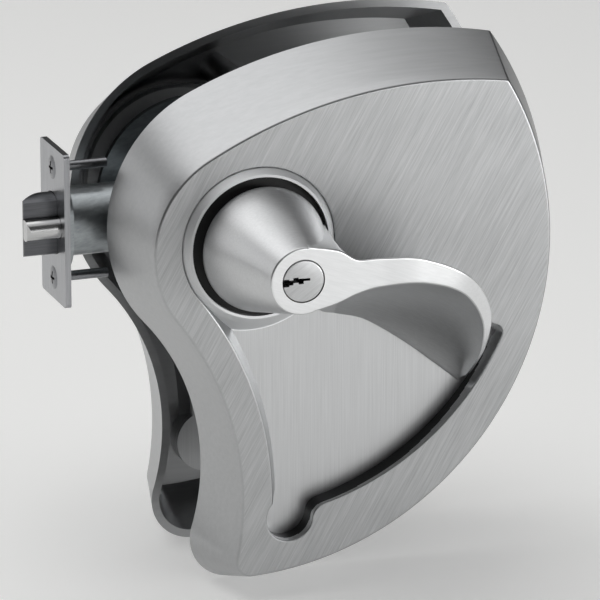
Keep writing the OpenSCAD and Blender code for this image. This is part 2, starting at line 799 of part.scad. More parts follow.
// Bevelled bolt with a blind groove for the plunger and a slot for the tail
module bolt() {
    nose = 1.2;
    difference() {
        along_x(tip_x, bolt_l) bolt_outline(0);
        along_x(tip_x - through, groove_x1 - tip_x + through) plunger_outline(bolt_gap);
        translate([tip_x, -bolt_half + nose, -2 * bolt_r])
            rotate([0, 0, -atan2(throw - 1, 2 * bolt_half - nose)])
                translate([-2 * throw, 0, 0]) cube([2 * throw, 6 * bolt_half, 4 * bolt_r]);
        translate([bolt_x1 - tail_grip, tail_off - tail_t / 2 - seat_gap, -tail_h / 2 - seat_gap])
            cube([tail_grip + through, tail_t + 2 * seat_gap, tail_h + 2 * seat_gap]);
    }
}

// Bar from the bolt to the retractor jaw, with a cross head
module tail() {
    head_x = jaw_x0 + 0.3;
    head_l = jaw_l - 0.6;
    translate([bolt_x1 - tail_grip, tail_off - tail_t / 2, -tail_h / 2])
        cube([tail_grip + 2, tail_t, tail_h]);
    translate([bolt_x1 + 1, -tail_t / 2, -tail_h / 2])
        cube([head_x + head_l - bolt_x1 - 1, tail_t, tail_h]);
    translate([head_x, -tail_t / 2, -tail_h / 2 - 3]) cube([head_l, tail_t, tail_h + 3]);
}

module bolt_coil() {
    x0 = bolt_x1 + 0.1;
    translate([x0, 0, 0]) rotate([0, 90, 0])
        coil(6.4, 0.6, 0, tube_x1 - end_plug_t - 0.1 - x0, 5, 6, 14);
}

// Half-round plunger in the groove of the bolt, with a bevelled tip
plunger_x1 = edge_x + 0.3;
module plunger() {
    difference() {
        along_x(tip_x, plunger_x1 - tip_x) plunger_outline(0);
        translate([tip_x, -plunger_off - plunger_r, 0]) rotate([0, 0, 45])
            cube([1.6, 1.6, 4 * plunger_r], center = true);
    }
}

module plunger_coil() {
    x0 = plunger_x1 + 0.1;
    translate([x0, -plunger_off, 0]) rotate([0, 90, 0])
        coil(1.85, 0.25, 0, groove_x1 - 0.1 - x0, 6, 6, 10);
}

// Bolts from the inside trim to the posts of the outside trim
module trim_screw(p, head_z, foot_z) {
    translate(p) {
        translate([0, 0, head_z]) difference() {
            cylinder(h = trim_head_t, r = trim_head_r);
            translate([0, 0, trim_head_t - 1.2]) cylinder(h = 2, r = 1.6, $fn = 6);
        }
        translate([0, 0, foot_z]) cylinder(h = head_z - foot_z + eps, r = trim_bolt_r);
    }
}

face_head_z = trim_depth - trim_head_t - 0.3;
pan_head_z = floor_z - trim_head_t - 0.1;
thread_z = floor_z - pan_t - 4;

// Blind threaded holes of the outside trim
module post_threads(places) {
    for (p = places) translate([p[0], p[1], -through])
        cylinder(h = thread_z + through, r = trim_bolt_r + 0.05);
}

// Through holes and head seats of the inside trim
module post_seats(places, head_z) {
    for (p = places) translate([p[0], p[1], 0]) {
        translate([0, 0, -through]) cylinder(h = head_z + 2 * through, r = trim_bolt_r + 0.3);
        translate([0, 0, head_z]) cylinder(h = trim_depth, r = trim_head_r + 0.2);
    }
}

module outside_escutcheon() {
    color("silver") outside() difference() {
        shell();
        post_threads(FACE_POSTS);
    }
}

module outside_pocket_pan() {
    color("lightgray") outside() difference() {
        pan();
        post_threads([PAN_POST]);
    }
}

module inside_escutcheon() {
    color("silver") inside() difference() {
        shell();
        post_seats(FACE_POSTS, face_head_z);
    }
}

module inside_pocket_pan() {
    color("lightgray") inside() difference() {
        pan();
        post_seats([PAN_POST], pan_head_z);
    }
}

module outside_hub_bushing() { color("dimgray") outside() bushing(); }
module inside_hub_bushing() { color("dimgray") inside() bushing(); }
module outside_mounting_plate() { color("gray") outside() mounting_plate(chassis_bolt_r + 0.05); }
module inside_mounting_plate() { color("gray") inside() mounting_plate(chassis_bolt_r + 0.2); }
module outside_return_spring() { color("slategray") outside() return_spring(); }
module inside_return_spring() { color("slategray") inside() return_spring(); }
module outside_chassis_cap() { color("darkgray") outside() chassis_cap(); }
module inside_chassis_cap() { color("darkgray") inside() chassis_cap(); }
module chassis_housing() { color("gainsboro") housing(); }

module trim_bolts() {
    color("gray") inside() {
        for (p = FACE_POSTS) trim_screw(p, face_head_z, -door_t - thread_z + 1);
        trim_screw(PAN_POST, pan_head_z, -door_t - thread_z + 1);
    }
}

module chassis_bolts() {
    color("gray") inside() for (s = [-1, 1]) translate([0, s * chassis_bolt_pitch, 0]) {
        translate([0, 0, plate_t]) cylinder(h = 2.4, r = 2 * chassis_bolt_r);
        translate([0, 0, -door_t - plate_t]) cylinder(h = door_t + 2 * plate_t + eps, r = chassis_bolt_r);
    }
}

module outside_lever() {
    color("whitesmoke") outside() difference() {
        lever_body();
        translate([0, 0, socket_z - through])
            cylinder(h = cylinder_top_z - socket_z + through, r = spindle_r + seat_gap);
        translate([0, 0, cylinder_top_z - through])
            cylinder(h = plug_head_t + 2 * through, r = plug_head_r + plug_gap);
    }
}

module inside_lever() { color("whitesmoke") inside() lever_body(); }
module outside_spindle() { color("gray") outside() spindle(); }
module inside_spindle() { color("gray") inside() spindle(); }
module outside_retaining_ring() { color("dimgray") outside() retaining_ring(); }
module inside_retaining_ring() { color("dimgray") inside() retaining_ring(); }
module outside_set_screw() { color("dimgray") outside() set_screw(); }
module inside_set_screw() { color("dimgray") inside() set_screw(); }
module key_cylinder() { color("goldenrod") outside() cylinder_shell(); }
module key_plug() { color("silver") outside() plug(); }
module tailpiece() { color("goldenrod") outside() tail_bar(); }
module retractor() { color("darkgray") retractor_body(); }
module retractor_springs() { color("slategray") retractor_coils(); }
module faceplate() { color("silver") plate_front(); }
module faceplate_screws() { color("silver") plate_screws(); }
module latch_backplate() { color("gray") plate_back(); }
module latch_tube() { color("darkgray") tube(); }
module latch_end_plug() { color("darkgray") end_plug(); }
module latch_bolt() { color("silver") bolt(); }
module latch_tail() { color("gray") tail(); }
module latch_spring() { color("slategray") bolt_coil(); }
module deadlatch_plunger() { color("whitesmoke") plunger(); }
module plunger_spring() { color("slategray") plunger_coil(); }

outside_escutcheon();
outside_pocket_pan();
outside_hub_bushing();
outside_mounting_plate();
outside_return_spring();
outside_chassis_cap();
inside_escutcheon();
inside_pocket_pan();
inside_hub_bushing();
inside_mounting_plate();
inside_return_spring();
inside_chassis_cap();
chassis_housing();
trim_bolts();
chassis_bolts();
outside_lever();
outside_spindle();
outside_retaining_ring();
outside_set_screw();
key_cylinder();
key_plug();
tailpiece();
inside_lever();
inside_spindle();
inside_retaining_ring();
inside_set_screw();
retractor();
retractor_springs();
faceplate();
faceplate_screws();
latch_backplate();
latch_tube();
latch_end_plug();
latch_bolt();
latch_tail();
latch_spring();
deadlatch_plunger();
plunger_spring();
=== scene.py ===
"""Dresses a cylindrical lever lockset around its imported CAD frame.

Local sizes are millimetres on one mounting face: x to the right, y up and d out from that face. The outside trim
stands on the -Y face, and the inside trim is its mirror image on the +Y face.
"""
import logging
import math
from dataclasses import dataclass
from enum import Enum
from typing import Callable, Optional

import bpy
import numpy as np
from mathutils import Matrix, Vector


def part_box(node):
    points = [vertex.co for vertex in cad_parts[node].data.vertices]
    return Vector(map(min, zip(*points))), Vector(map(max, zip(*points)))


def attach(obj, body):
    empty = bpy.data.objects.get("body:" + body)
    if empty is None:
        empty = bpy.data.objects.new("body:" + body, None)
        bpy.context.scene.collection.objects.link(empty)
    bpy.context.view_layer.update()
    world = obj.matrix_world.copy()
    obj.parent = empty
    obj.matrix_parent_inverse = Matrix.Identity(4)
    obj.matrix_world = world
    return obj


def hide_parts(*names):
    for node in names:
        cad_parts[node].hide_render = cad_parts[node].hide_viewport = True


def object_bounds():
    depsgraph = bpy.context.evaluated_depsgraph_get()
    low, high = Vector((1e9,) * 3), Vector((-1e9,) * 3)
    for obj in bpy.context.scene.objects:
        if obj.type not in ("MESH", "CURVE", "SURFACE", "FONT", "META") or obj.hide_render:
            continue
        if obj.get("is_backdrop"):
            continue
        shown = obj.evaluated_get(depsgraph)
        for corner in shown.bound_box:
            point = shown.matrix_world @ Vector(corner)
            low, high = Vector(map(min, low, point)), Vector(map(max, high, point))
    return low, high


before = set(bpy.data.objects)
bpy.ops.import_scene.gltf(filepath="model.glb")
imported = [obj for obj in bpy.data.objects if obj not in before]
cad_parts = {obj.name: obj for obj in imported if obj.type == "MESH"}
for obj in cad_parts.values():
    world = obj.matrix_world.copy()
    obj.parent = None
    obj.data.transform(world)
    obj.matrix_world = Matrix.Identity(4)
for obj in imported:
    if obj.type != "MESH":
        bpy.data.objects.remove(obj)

LOG = logging.getLogger("lockset")
MM = 0.001
# Distance between the two mounting faces, and from the spindle axis to the latch edge, in millimetres
MOUNT_GAP = 44.45
BACKSET = 60.3
# Gap between the lockset and the studio floor, in millimetres
FLOOR_GAP = 0.2
# How far a cutting tool reaches past the face it cuts, in millimetres
CUT_PAST = 1.0
# Edges that turn by more degrees than this stay sharp
CREASE = 32.0
# Shortest length that is divided by
TINY = 1e-6

Placer = Callable[[np.ndarray], np.ndarray]


class Side(Enum):
    """Side of the lockset, as the sign of its Y direction."""

    OUTSIDE = -1
    INSIDE = 1

    @property
    def word(self) -> str:
        """Name of the side as the nodes use it."""
        return self.name.lower()

    def place(self, points: np.ndarray) -> np.ndarray:
        """Turns local millimetres on this mounting face into frame metres."""
        y = self.value * (MOUNT_GAP / 2 + points[..., 2])
        return np.stack([points[..., 0], y, points[..., 1]], axis=-1) * MM


def on_edge(points: np.ndarray) -> np.ndarray:
    """Turns local millimetres on the latch edge, d outwards, into frame metres."""
    return np.stack([-BACKSET - points[..., 2], -points[..., 0], points[..., 1]], axis=-1) * MM


def polar(r: float, deg: float) -> np.ndarray:
    """Point at radius r and angle deg on a circle about the origin."""
    a = math.radians(deg)
    return np.array([r * math.cos(a), r * math.sin(a)])


def bearing(v: np.ndarray) -> float:
    """Direction of a vector in degrees."""
    return math.degrees(math.atan2(v[1], v[0]))


def meet(c1: np.ndarray, r1: float, c2: np.ndarray, r2: float, side: int) -> np.ndarray:
    """Crossing of two circles.

    With the centres d apart, the crossing lies (r1 r1 - r2 r2 + d d) / 2d along the line of centres, and stands off
    that line by the other leg of the right triangle on r1.

    Args:
        c1: centre of the first circle.
        r1: its radius.
        c2: centre of the second circle.
        r2: its radius.
        side: +1 for the crossing to the left of the line of centres, -1 for the other.

    Returns:
        The crossing point.
    """
    gap = c2 - c1
    d = float(np.hypot(*gap))
    e = gap / d
    a = (r1 * r1 - r2 * r2 + d * d) / (2 * d)
    h = math.sqrt(max(0.0, r1 * r1 - a * a))
    return c1 + a * e + side * h * np.array([-e[1], e[0]])


def arc(c: np.ndarray, r: float, a0: float, a1: float, n: int) -> np.ndarray:
    """Points c + r (cos a, sin a) for n angles from a0 up to, not including, a1."""
    a = np.radians(a0 + (a1 - a0) * np.arange(n) / n)
    return c + r * np.stack([np.cos(a), np.sin(a)], axis=1)


def ring(outline: np.ndarray, d: float) -> np.ndarray:
    """Lifts a flat outline to a height above the mounting face."""
    return np.column_stack([outline, np.full(len(outline), d)])


def grid_faces(rows: int, cols: int, close_rows: bool) -> np.ndarray:
    """Quads of a grid whose columns close on themselves.

    Args:
        rows: number of rings.
        cols: points in a ring.
        close_rows: True when the last ring joins the first.

    Returns:
        Corner numbers, one row for each quad, turning left seen from outside.
    """
    i = np.arange(rows if close_rows else rows - 1)[:, None]
    j = np.arange(cols)[None, :]
    i1, j1 = (i + 1) % rows, (j + 1) % cols
    quad = np.stack(np.broadcast_arrays(i * cols + j, i * cols + j1, i1 * cols + j1, i1 * cols + j), axis=-1)
    return quad.reshape(-1, 4)


@dataclass
class Solid:
    """Closed surface in local millimetres: points, faces as arrays of corner numbers, and each face's finish slot."""

    points: np.ndarray
    faces: list[np.ndarray]
    slots: Optional[np.ndarray] = None

    @classmethod
    def tube(cls, rows: np.ndarray, slots: Optional[np.ndarray] = None) -> "Solid":
        """Rings joined in order, each end closed by a fan to its middle.

        Args:
            rows: array of rings, each turning left seen from the last one.
            slots: finish slot of each quad between the rings; the fans take those beside them.

        Returns:
            The closed solid.
        """
        count, cols = rows.shape[:2]
        points = np.concatenate([rows.reshape(-1, 3), rows[:1].mean(1), rows[-1:].mean(1)])
        j = np.arange(cols)
        k = (j + 1) % cols
        last = (count - 1) * cols
        foot = np.stack([k, j, np.full(cols, count * cols)], axis=1)
        head = np.stack([last + j, last + k, np.full(cols, count * cols + 1)], axis=1)
        if slots is not None:
            slots = np.concatenate([slots.ravel(), slots[0], slots[-1]])
        return cls(points, [grid_faces(count, cols, False), foot, head], slots)

    @classmethod
    def lathe(cls, profile: list[tuple[float, float]], at: np.ndarray = np.zeros(2), cols: int = 128,
              face_rows: int = 0) -> "Solid":
        """Profile carried once round an upright axis.

        Args:
            profile: radius and height pairs, bottom first; the ends close on the axis.
            at: place of the axis.
            cols: points in a turn.
            face_rows: how many of the last bands take the second finish slot.

        Returns:
            The turned solid.
        """
        rows = [ring(arc(at, r, 0, 360, cols), d) for r, d in profile]
        slots = np.zeros((len(rows) - 1, cols), dtype=np.int32)
        slots[len(slots) - face_rows:] = 1
        return cls.tube(np.stack(rows), slots)

    @classmethod
    def prism(cls, outline: np.ndarray, low: float, high: float) -> "Solid":
        """Flat outline carried straight up.

        Args:
            outline: points turning left.
            low: height of the foot.
            high: height of the top.

        Returns:
            The prism.
        """
        n = len(outline)
        points = np.concatenate([ring(outline, low), ring(outline, high)])
        j = np.arange(n)
        return cls(points, [grid_faces(2, n, False), j[None, ::-1], n + j[None, :]])

    def moved(self, x: float, y: float) -> "Solid":
        """Copy moved on the face it stands on."""
        return Solid(self.points + np.array([x, y, 0.0]), self.faces, self.slots)

    def make(self, name: str, place: Placer, mirrored: bool = False, crease: float = CREASE) -> bpy.types.Object:
        """Makes a mesh object at the origin.

        Args:
            name: name of the piece.
            place: turns local millimetres into frame metres.
            mirrored: True where place mirrors, so the faces are turned round.
            crease: angle in degrees past which an edge stays sharp.

        Returns:
            The new object, linked to the scene.
        """
        mesh = bpy.data.meshes.new(name)
        faces = [f[::-1] if mirrored else f for block in self.faces for f in block.tolist()]
        mesh.from_pydata(place(self.points).tolist(), [], faces)
        if self.slots is not None:
            mesh.polygons.foreach_set("material_index", self.slots.astype(np.int32))
        mesh.shade_smooth()
        mesh.set_sharp_from_angle(angle=math.radians(crease))
        piece = bpy.data.objects.new(name, mesh)
        bpy.context.scene.collection.objects.link(piece)
        return piece


class Join(Enum):
    """How a tool changes a piece."""

    ADD = "UNION"
    CUT = "DIFFERENCE"


def combine(piece: bpy.types.Object, tool: bpy.types.Object, how: Join, crease: float = CREASE) -> None:
    """Adds a tool to a piece or cuts it out, keeps the result as the piece's mesh and removes the tool.

    Args:
        piece: piece that is changed.
        tool: closed mesh; its own finish stays on the faces it leaves.
        how: add or cut.
        crease: angle in degrees past which an edge of the result stays sharp.
    """
    step = piece.modifiers.new("step", "BOOLEAN")
    step.operation, step.solver, step.object = how.value, "EXACT", tool
    step.material_mode = "TRANSFER"
    graph = bpy.context.evaluated_depsgraph_get()
    done = bpy.data.meshes.new_from_object(piece.evaluated_get(graph))
    piece.modifiers.clear()
    piece.data = done
    done.shade_smooth()
    done.set_sharp_from_angle(angle=math.radians(crease))
    bpy.data.objects.remove(tool)


def linear(hex_colour: str) -> tuple[float, float, float, float]:
    """Turns an sRGB colour into linear light by the standard curve: straight near black, a power of 2.4 above.

    Args:
        hex_colour: colour as #rrggbb.

    Returns:
        Red, green and blue in linear light, and full cover.
    """
    srgb = np.array([int(hex_colour[i:i + 2], 16) for i in (1, 3, 5)]) / 255
    lin = np.where(srgb <= 0.04045, srgb / 12.92, ((srgb + 0.055) / 1.055) ** 2.4)
    return (*map(float, lin), 1.0)


def add_node(tree: bpy.types.NodeTree, kind: str, settings: Optional[dict] = None,
             inputs: Optional[dict] = None) -> bpy.types.Node:
    """Adds one node.

    Args:
        tree: node tree that takes it.
        kind: Blender's node type.
        settings: attributes of the node.
        inputs: socket name or number to a value, or to an output socket that is linked.

    Returns:
        The node.
    """
    node = tree.nodes.new(kind)
    for key, value in (settings or {}).items():
        setattr(node, key, value)
    for key, value in (inputs or {}).items():
        if isinstance(value, bpy.types.NodeSocket):
            tree.links.new(value, node.inputs[key])
        else:
            node.inputs[key].default_value = value
    return node


def bare_material(name: str) -> bpy.types.Material:
    """Makes a material with an empty node tree.

    Args:
        name: name of the material.

    Returns:
        The material.
    """
    mat = bpy.data.materials.new(name)
    mat.use_nodes = True
    mat.node_tree.nodes.clear()
    return mat


@dataclass(frozen=True)
class DressedMetal:
    """Metal dressed with an abrasive: fine straight scratches that streak and stretch its highlights.

    Scratches are noise bands, from their width and length in millimetres, and broad clouds vary the tone as
    handling does. Real scratches are finer than the picture can show, so they are drawn as wide as a pixel. Where
    collar_mm is given, the metal within that radius of the spindle axis is dull and even, and painted paler for the
    light that the collar catches.
    """

    name: str
    # Ends of the tone, and the roughness with the spread about it
    dark: str = "#9d9e9f"
    light: str = "#bfc0c1"
    roughness: float = 0.36
    spread: float = 0.10
    # Scratches: direction in degrees, width and length in millimetres, strength of the bump
    turn: float = 60.0
    scratch_w: float = 0.4
    scratch_l: float = 18.0
    depth: float = 0.06
    cloud_mm: float = 45.0
    collar_mm: float = 0.0
    collar_colour: str = "#e9eaeb"
    # Painted light: pale tone of the collar round the hub, for the light it catches
    collar_roughness: float = 0.6

    # Share of the clouds in the tone, the parts of the noise that give tone and gloss, and the height of the bump
    CLOUD_SHARE = 0.25
    TONE_SPAN = (0.35, 0.90)
    GLOSS_SPAN = (0.2, 0.8)
    RELIEF_MM = 0.4

    def make(self) -> bpy.types.Material:
        """Builds the material; scratches run at turn degrees in the plane of the mounting faces.

        Returns:
            The material.
        """
        mat = bare_material(self.name)
        tree = mat.node_tree
        coord = add_node(tree, "ShaderNodeTexCoord")
        turned = add_node(tree, "ShaderNodeMapping", inputs={
            "Vector": coord.outputs["Object"], "Rotation": (0.0, math.radians(self.turn), 0.0)})
        across, along = 1 / (self.scratch_w * MM), 1 / (self.scratch_l * MM)
        stretched = add_node(tree, "ShaderNodeMapping", inputs={
            "Vector": turned.outputs["Vector"], "Scale": (along, across, across)})
        scratch = add_node(tree, "ShaderNodeTexNoise", inputs={
            "Vector": stretched.outputs["Vector"], "Scale": 1.0, "Detail": 3.0, "Roughness": 0.65})
        cloud = add_node(tree, "ShaderNodeTexNoise", inputs={
            "Vector": coord.outputs["Object"], "Scale": 1 / (self.cloud_mm * MM), "Detail": 2.0})
        blend = add_node(tree, "ShaderNodeMath", {"operation": "MULTIPLY_ADD"}, {
            0: cloud.outputs["Fac"], 1: self.CLOUD_SHARE, 2: scratch.outputs["Fac"]})
        tone = add_node(tree, "ShaderNodeMapRange", inputs={
            "Value": blend.outputs["Value"], "From Min": self.TONE_SPAN[0], "From Max": self.TONE_SPAN[1]})
        colour = add_node(tree, "ShaderNodeMix", {"data_type": "RGBA"}, {
            "Factor": tone.outputs["Result"], "A": linear(self.dark), "B": linear(self.light)})
        rough = add_node(tree, "ShaderNodeMapRange", inputs={
            "Value": scratch.outputs["Fac"], "From Min": self.GLOSS_SPAN[0], "From Max": self.GLOSS_SPAN[1],
            "To Min": self.roughness - self.spread / 2, "To Max": self.roughness + self.spread / 2})
        tint, gloss = colour.outputs["Result"], rough.outputs["Result"]
        if self.collar_mm:
            flat = add_node(tree, "ShaderNodeVectorMath", {"operation": "MULTIPLY"}, {
                0: coord.outputs["Object"], 1: (1.0, 0.0, 1.0)})
            radius = add_node(tree, "ShaderNodeVectorMath", {"operation": "LENGTH"}, {0: flat.outputs["Vector"]})
            inside = add_node(tree, "ShaderNodeMath", {"operation": "LESS_THAN"}, {
                0: radius.outputs["Value"], 1: self.collar_mm * MM})
            # Painted light: within the collar the tone is painted paler for the light it catches; the dull roughness
            # is its own
            mixed = add_node(tree, "ShaderNodeMix", {"data_type": "RGBA"}, {
                "Factor": inside.outputs["Value"], "A": tint, "B": linear(self.collar_colour)})
            dulled = add_node(tree, "ShaderNodeMix", inputs={
                "Factor": inside.outputs["Value"], "A": gloss, "B": self.collar_roughness})
            tint, gloss = mixed.outputs["Result"], dulled.outputs["Result"]
        bump = add_node(tree, "ShaderNodeBump", inputs={
            "Height": scratch.outputs["Fac"], "Strength": self.depth, "Distance": self.RELIEF_MM * MM})
        shader = add_node(tree, "ShaderNodeBsdfPrincipled", inputs={
            "Base Color": tint, "Roughness": gloss, "Metallic": 1.0, "Normal": bump.outputs["Normal"]})
        add_node(tree, "ShaderNodeOutputMaterial", inputs={"Surface": shader.outputs["BSDF"]})
        return mat


@dataclass(frozen=True)
class MattBlack:
    """Dull black: slightly mottled, with a soft sheen at grazing angles."""

    name: str
    dark: str = "#141414"
    light: str = "#202020"
    grain_mm: float = 0.6
    roughness: float = 0.6
    depth: float = 0.15

    RELIEF_MM = 0.2

    def make(self) -> bpy.types.Material:
        """Builds the material from a fine grain in colour and height.

        Returns:
            The material.
        """
        mat = bare_material(self.name)
        tree = mat.node_tree
        coord = add_node(tree, "ShaderNodeTexCoord")
        grain = add_node(tree, "ShaderNodeTexNoise", inputs={
            "Vector": coord.outputs["Object"], "Scale": 1 / (self.grain_mm * MM), "Detail": 2.0})
        colour = add_node(tree, "ShaderNodeMix", {"data_type": "RGBA"}, {
            "Factor": grain.outputs["Fac"], "A": linear(self.dark), "B": linear(self.light)})
        bump = add_node(tree, "ShaderNodeBump", inputs={
            "Height": grain.outputs["Fac"], "Strength": self.depth, "Distance": self.RELIEF_MM * MM})
        shader = add_node(tree, "ShaderNodeBsdfPrincipled", inputs={
            "Base Color": colour.outputs["Result"], "Roughness": self.roughness, "Normal": bump.outputs["Normal"]})
        add_node(tree, "ShaderNodeOutputMaterial", inputs={"Surface": shader.outputs["BSDF"]})
        return mat


class Finish(Enum):
    """Every finish on the lockset."""

    # Belt brushed: fine slanting lines that show as pale and dark streaks
    FACE = DressedMetal("stainless_belt_brushed_face", turn=60.0)
    # Fine satin: an even sheen that follows the draft, with hardly a line to see
    WALL = DressedMetal("stainless_satin_wall", dark="#acadae", light="#b6b7b8", turn=0.0, scratch_w=1.6,
                        scratch_l=30.0, depth=0.01, spread=0.03, roughness=0.36)
    # Brushed upright: long straight lines in the pocket, and a dull collar round the hub, painted pale for the light
    # it catches
    FLOOR = DressedMetal("stainless_straight_brushed_floor", dark="#bcbdbe", light="#cfd0d1", turn=-90.0,
                         scratch_w=0.4, scratch_l=40.0, depth=0.03, spread=0.05, collar_mm=34.4)
    # Painted shade: the lower pocket wall is painted dark, dull and grainy for the shade along the pocket
    CAST = DressedMetal("stainless_as_cast_pocket_edge", dark="#3b3c3d", light="#4c4d4e", turn=0.0, scratch_w=1.2,
                        scratch_l=3.0, depth=0.03, spread=0.05, roughness=0.42)
    # Painted highlight: the top of the pocket wall is painted pale for the light it catches, above the painted shade
    MILLED = DressedMetal("stainless_milled_pocket_edge", dark="#dcddde", light="#ecedee", turn=-30.0, scratch_w=0.8,
                          scratch_l=10.0, depth=0.02, spread=0.05)
    # Painted highlight: the lever's flat face and the hub face are painted paler than the casting, for the light they
    # catch; nearly even
    STRIP = DressedMetal("stainless_buffed_lever_face", dark="#e8e9ea", light="#f3f4f5", turn=-20.0, scratch_w=0.7,
                         scratch_l=8.0, depth=0.01, roughness=0.3, spread=0.04)
    # Cast and satin finished: broad soft highlights on hub and scoop
    LEVER = DressedMetal("stainless_cast_satin_lever", dark="#c3c4c5", light="#d2d3d4", turn=-20.0, scratch_w=0.7,
                         scratch_l=8.0, depth=0.015, roughness=0.35, spread=0.04)
    # Nickel plate: bright, with short fine lines
    PLUG = DressedMetal("nickel_plated_plug", dark="#bbbcbd", light="#d1d2d3", turn=35.0, scratch_w=0.35,
                        scratch_l=6.0, depth=0.02, roughness=0.3, spread=0.05)
    # Polished: a sharp bright line along the half round
    PLUNGER = DressedMetal("polished_steel_plunger", dark="#c0c0c0", light="#d0d0d0", turn=0.0, scratch_w=0.5,
                           scratch_l=12.0, depth=0.02, roughness=0.24, spread=0.06)
    # Satin steel: dark grey, marked along its slide
    BOLT = DressedMetal("satin_steel_bolt", dark="#56575a", light="#727376", turn=0.0, scratch_w=0.5, scratch_l=14.0,
                        depth=0.05, roughness=0.34)
    # Nickel plate: small grey glints on the dome
    SCREW = DressedMetal("nickel_plated_screw", dark="#77787b", light="#98999c", turn=25.0, scratch_w=0.5,
                         scratch_l=2.0, depth=0.04, roughness=0.3)
    # Brushed upright: long fine lines on a narrow plate
    PLATE = DressedMetal("stainless_brushed_faceplate", dark="#97989b", light="#b6b7ba", turn=-90.0, scratch_w=0.4,
                         scratch_l=20.0, depth=0.05, roughness=0.3)
    # Zinc plate: cool grey in faint patches
    ZINC = DressedMetal("zinc_plated_steel", dark="#8f9497", light="#b0b5b7", turn=15.0, scratch_w=1.5,
                        scratch_l=4.0, depth=0.03, roughness=0.34)
    # Oiled steel: dark wire with a thin glint
    SPRING = DressedMetal("oiled_spring_steel", dark="#55575a", light="#74777b", turn=40.0, scratch_w=0.5,
                          scratch_l=3.0, depth=0.04, roughness=0.3)
    # Machined brass: warm yellow with tool lines
    BRASS = DressedMetal("machined_brass", dark="#a98a4c", light="#cdb06e", turn=0.0, scratch_w=0.5, scratch_l=8.0,
                         depth=0.04, roughness=0.28)
    # Moulded nylon: black, slightly mottled, with a soft sheen
    NYLON = MattBlack("moulded_black_nylon")
    # Painted shade: near black on the cut faces of keyway and cross recesses, for the shade inside them
    KEYWAY = MattBlack("blackened_keyway", dark="#0a0a0a", light="#121212", roughness=0.5)


class Palette:
    """Makes each finish once and hands it out."""

    def __init__(self) -> None:
        """Starts with nothing made."""
        self.made: dict[Finish, bpy.types.Material] = {}

    def get(self, finish: Finish) -> bpy.types.Material:
        """Material of a finish, made when it is first asked for.

        Args:
            finish: the finish.

        Returns:
            Its material.
        """
        if finish not in self.made:
            self.made[finish] = finish.value.make()
        return self.made[finish]

    def dress(self, piece: bpy.types.Object, *finishes: Finish) -> None:
        """Puts finishes into a piece's material slots, in order."""
        for finish in finishes:
            piece.data.materials.append(self.get(finish))

    def dress_node(self, node: str, finish: Finish) -> None:
        """Gives a CAD node one finish in every slot it has.

        Args:
            node: name of the node.
            finish: the finish.
        """
        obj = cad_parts[node]
        if not obj.material_slots:
            obj.data.materials.append(self.get(finish))
        for slot in obj.material_slots:
            slot.material = self.get(finish)


def seat(piece: bpy.types.Object, body: str, node: str) -> bpy.types.Object:
    """Rides a piece on a body in place of a CAD node.

    Args:
        piece: finished piece.
        body: body that carries it.
        node: CAD node that it stands for.

    Returns:
        The piece.
    """
    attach(piece, body)
    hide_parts(node)
    LOG.info("%s: %d faces", piece.name, len(piece.data.polygons))
    return piece


class Edge(Enum):
    """Arcs of the shield outline, in order."""

    OUTER = 0
    CORNER = 1
    TOP = 2
    NOSE = 3
    FLANK = 4
    TIP = 5


@dataclass(frozen=True)
class Shield:
    """One outline of the trim: a chain of tangent arcs round nose, top edge, corner, outer edge, tip and flank.

    Nose and outer edge are given by centre and radius, and the turns are the normals where the nose meets top edge
    and flank.
    """

    nose: tuple[float, float, float]
    top_turn: float
    top_r: float
    flank_turn: float
    flank_r: float
    outer: tuple[float, float, float]
    tip_r: float
    corner_r: float = 1.6

    # Stretches of the outline: arc, share where it starts and ends, and points. Each faces a stretch of the opening.
    RUNS = ((Edge.OUTER, 0.16, 0.58, 170), (Edge.OUTER, 0.58, 0.66, 24), (Edge.OUTER, 0.66, 1, 100),
            (Edge.CORNER, 0, 1, 16), (Edge.TOP, 0, 1, 120), (Edge.NOSE, 0, 1, 110), (Edge.FLANK, 0, 0.77, 110),
            (Edge.FLANK, 0.77, 1, 20), (Edge.TIP, 0, 1, 22), (Edge.OUTER, 0, 0.16, 30))
    COUNTS = tuple(run[3] for run in RUNS)

    def flank_centre(self) -> np.ndarray:
        """Centre of the hollow flank."""
        return np.array(self.nose[:2]) + polar(self.flank_r + self.nose[2], self.flank_turn)

    def points(self, inset: float) -> np.ndarray:
        """Outline moved inwards.

        Each arc is a centre and a signed radius; the normal at a joint is the difference of centres over the
        difference of radii, and arc i runs between its two joint normals.

        Args:
            inset: distance inwards in millimetres.

        Returns:
            Points turning left from the outer edge, one stretch after another.
        """
        nose_c, outer_c = np.array(self.nose[:2]), np.array(self.outer[:2])
        top_c = nose_c - polar(self.top_r - self.nose[2], self.top_turn)
        flank_c = self.flank_centre()
        cr, tr = (max(r - inset, r / 4) for r in (self.corner_r, self.tip_r))
        o_r, t_r, f_r = self.outer[2] - inset, self.top_r - inset, self.flank_r + inset
        corner_c = meet(outer_c, o_r - cr, top_c, t_r - cr, 1)
        tip_c = meet(outer_c, o_r - tr, flank_c, f_r + tr, 1)
        arcs = [(outer_c, o_r), (corner_c, cr), (top_c, t_r), (nose_c, self.nose[2] - inset), (flank_c, -f_r),
                (tip_c, tr)]
        joints = [bearing((q[0] - p[0]) / (p[1] - q[1])) for p, q in zip(arcs, arcs[1:] + arcs[:1])]
        parts = []
        for edge, start, end, count in self.RUNS:
            centre, r = arcs[edge.value]
            first = joints[edge.value - 1]
            sweep = (joints[edge.value] - first) % 360 - (0 if r > 0 else 360)
            parts.append(arc(centre, r, first + sweep * start, first + sweep * end, count))
        return np.concatenate(parts)


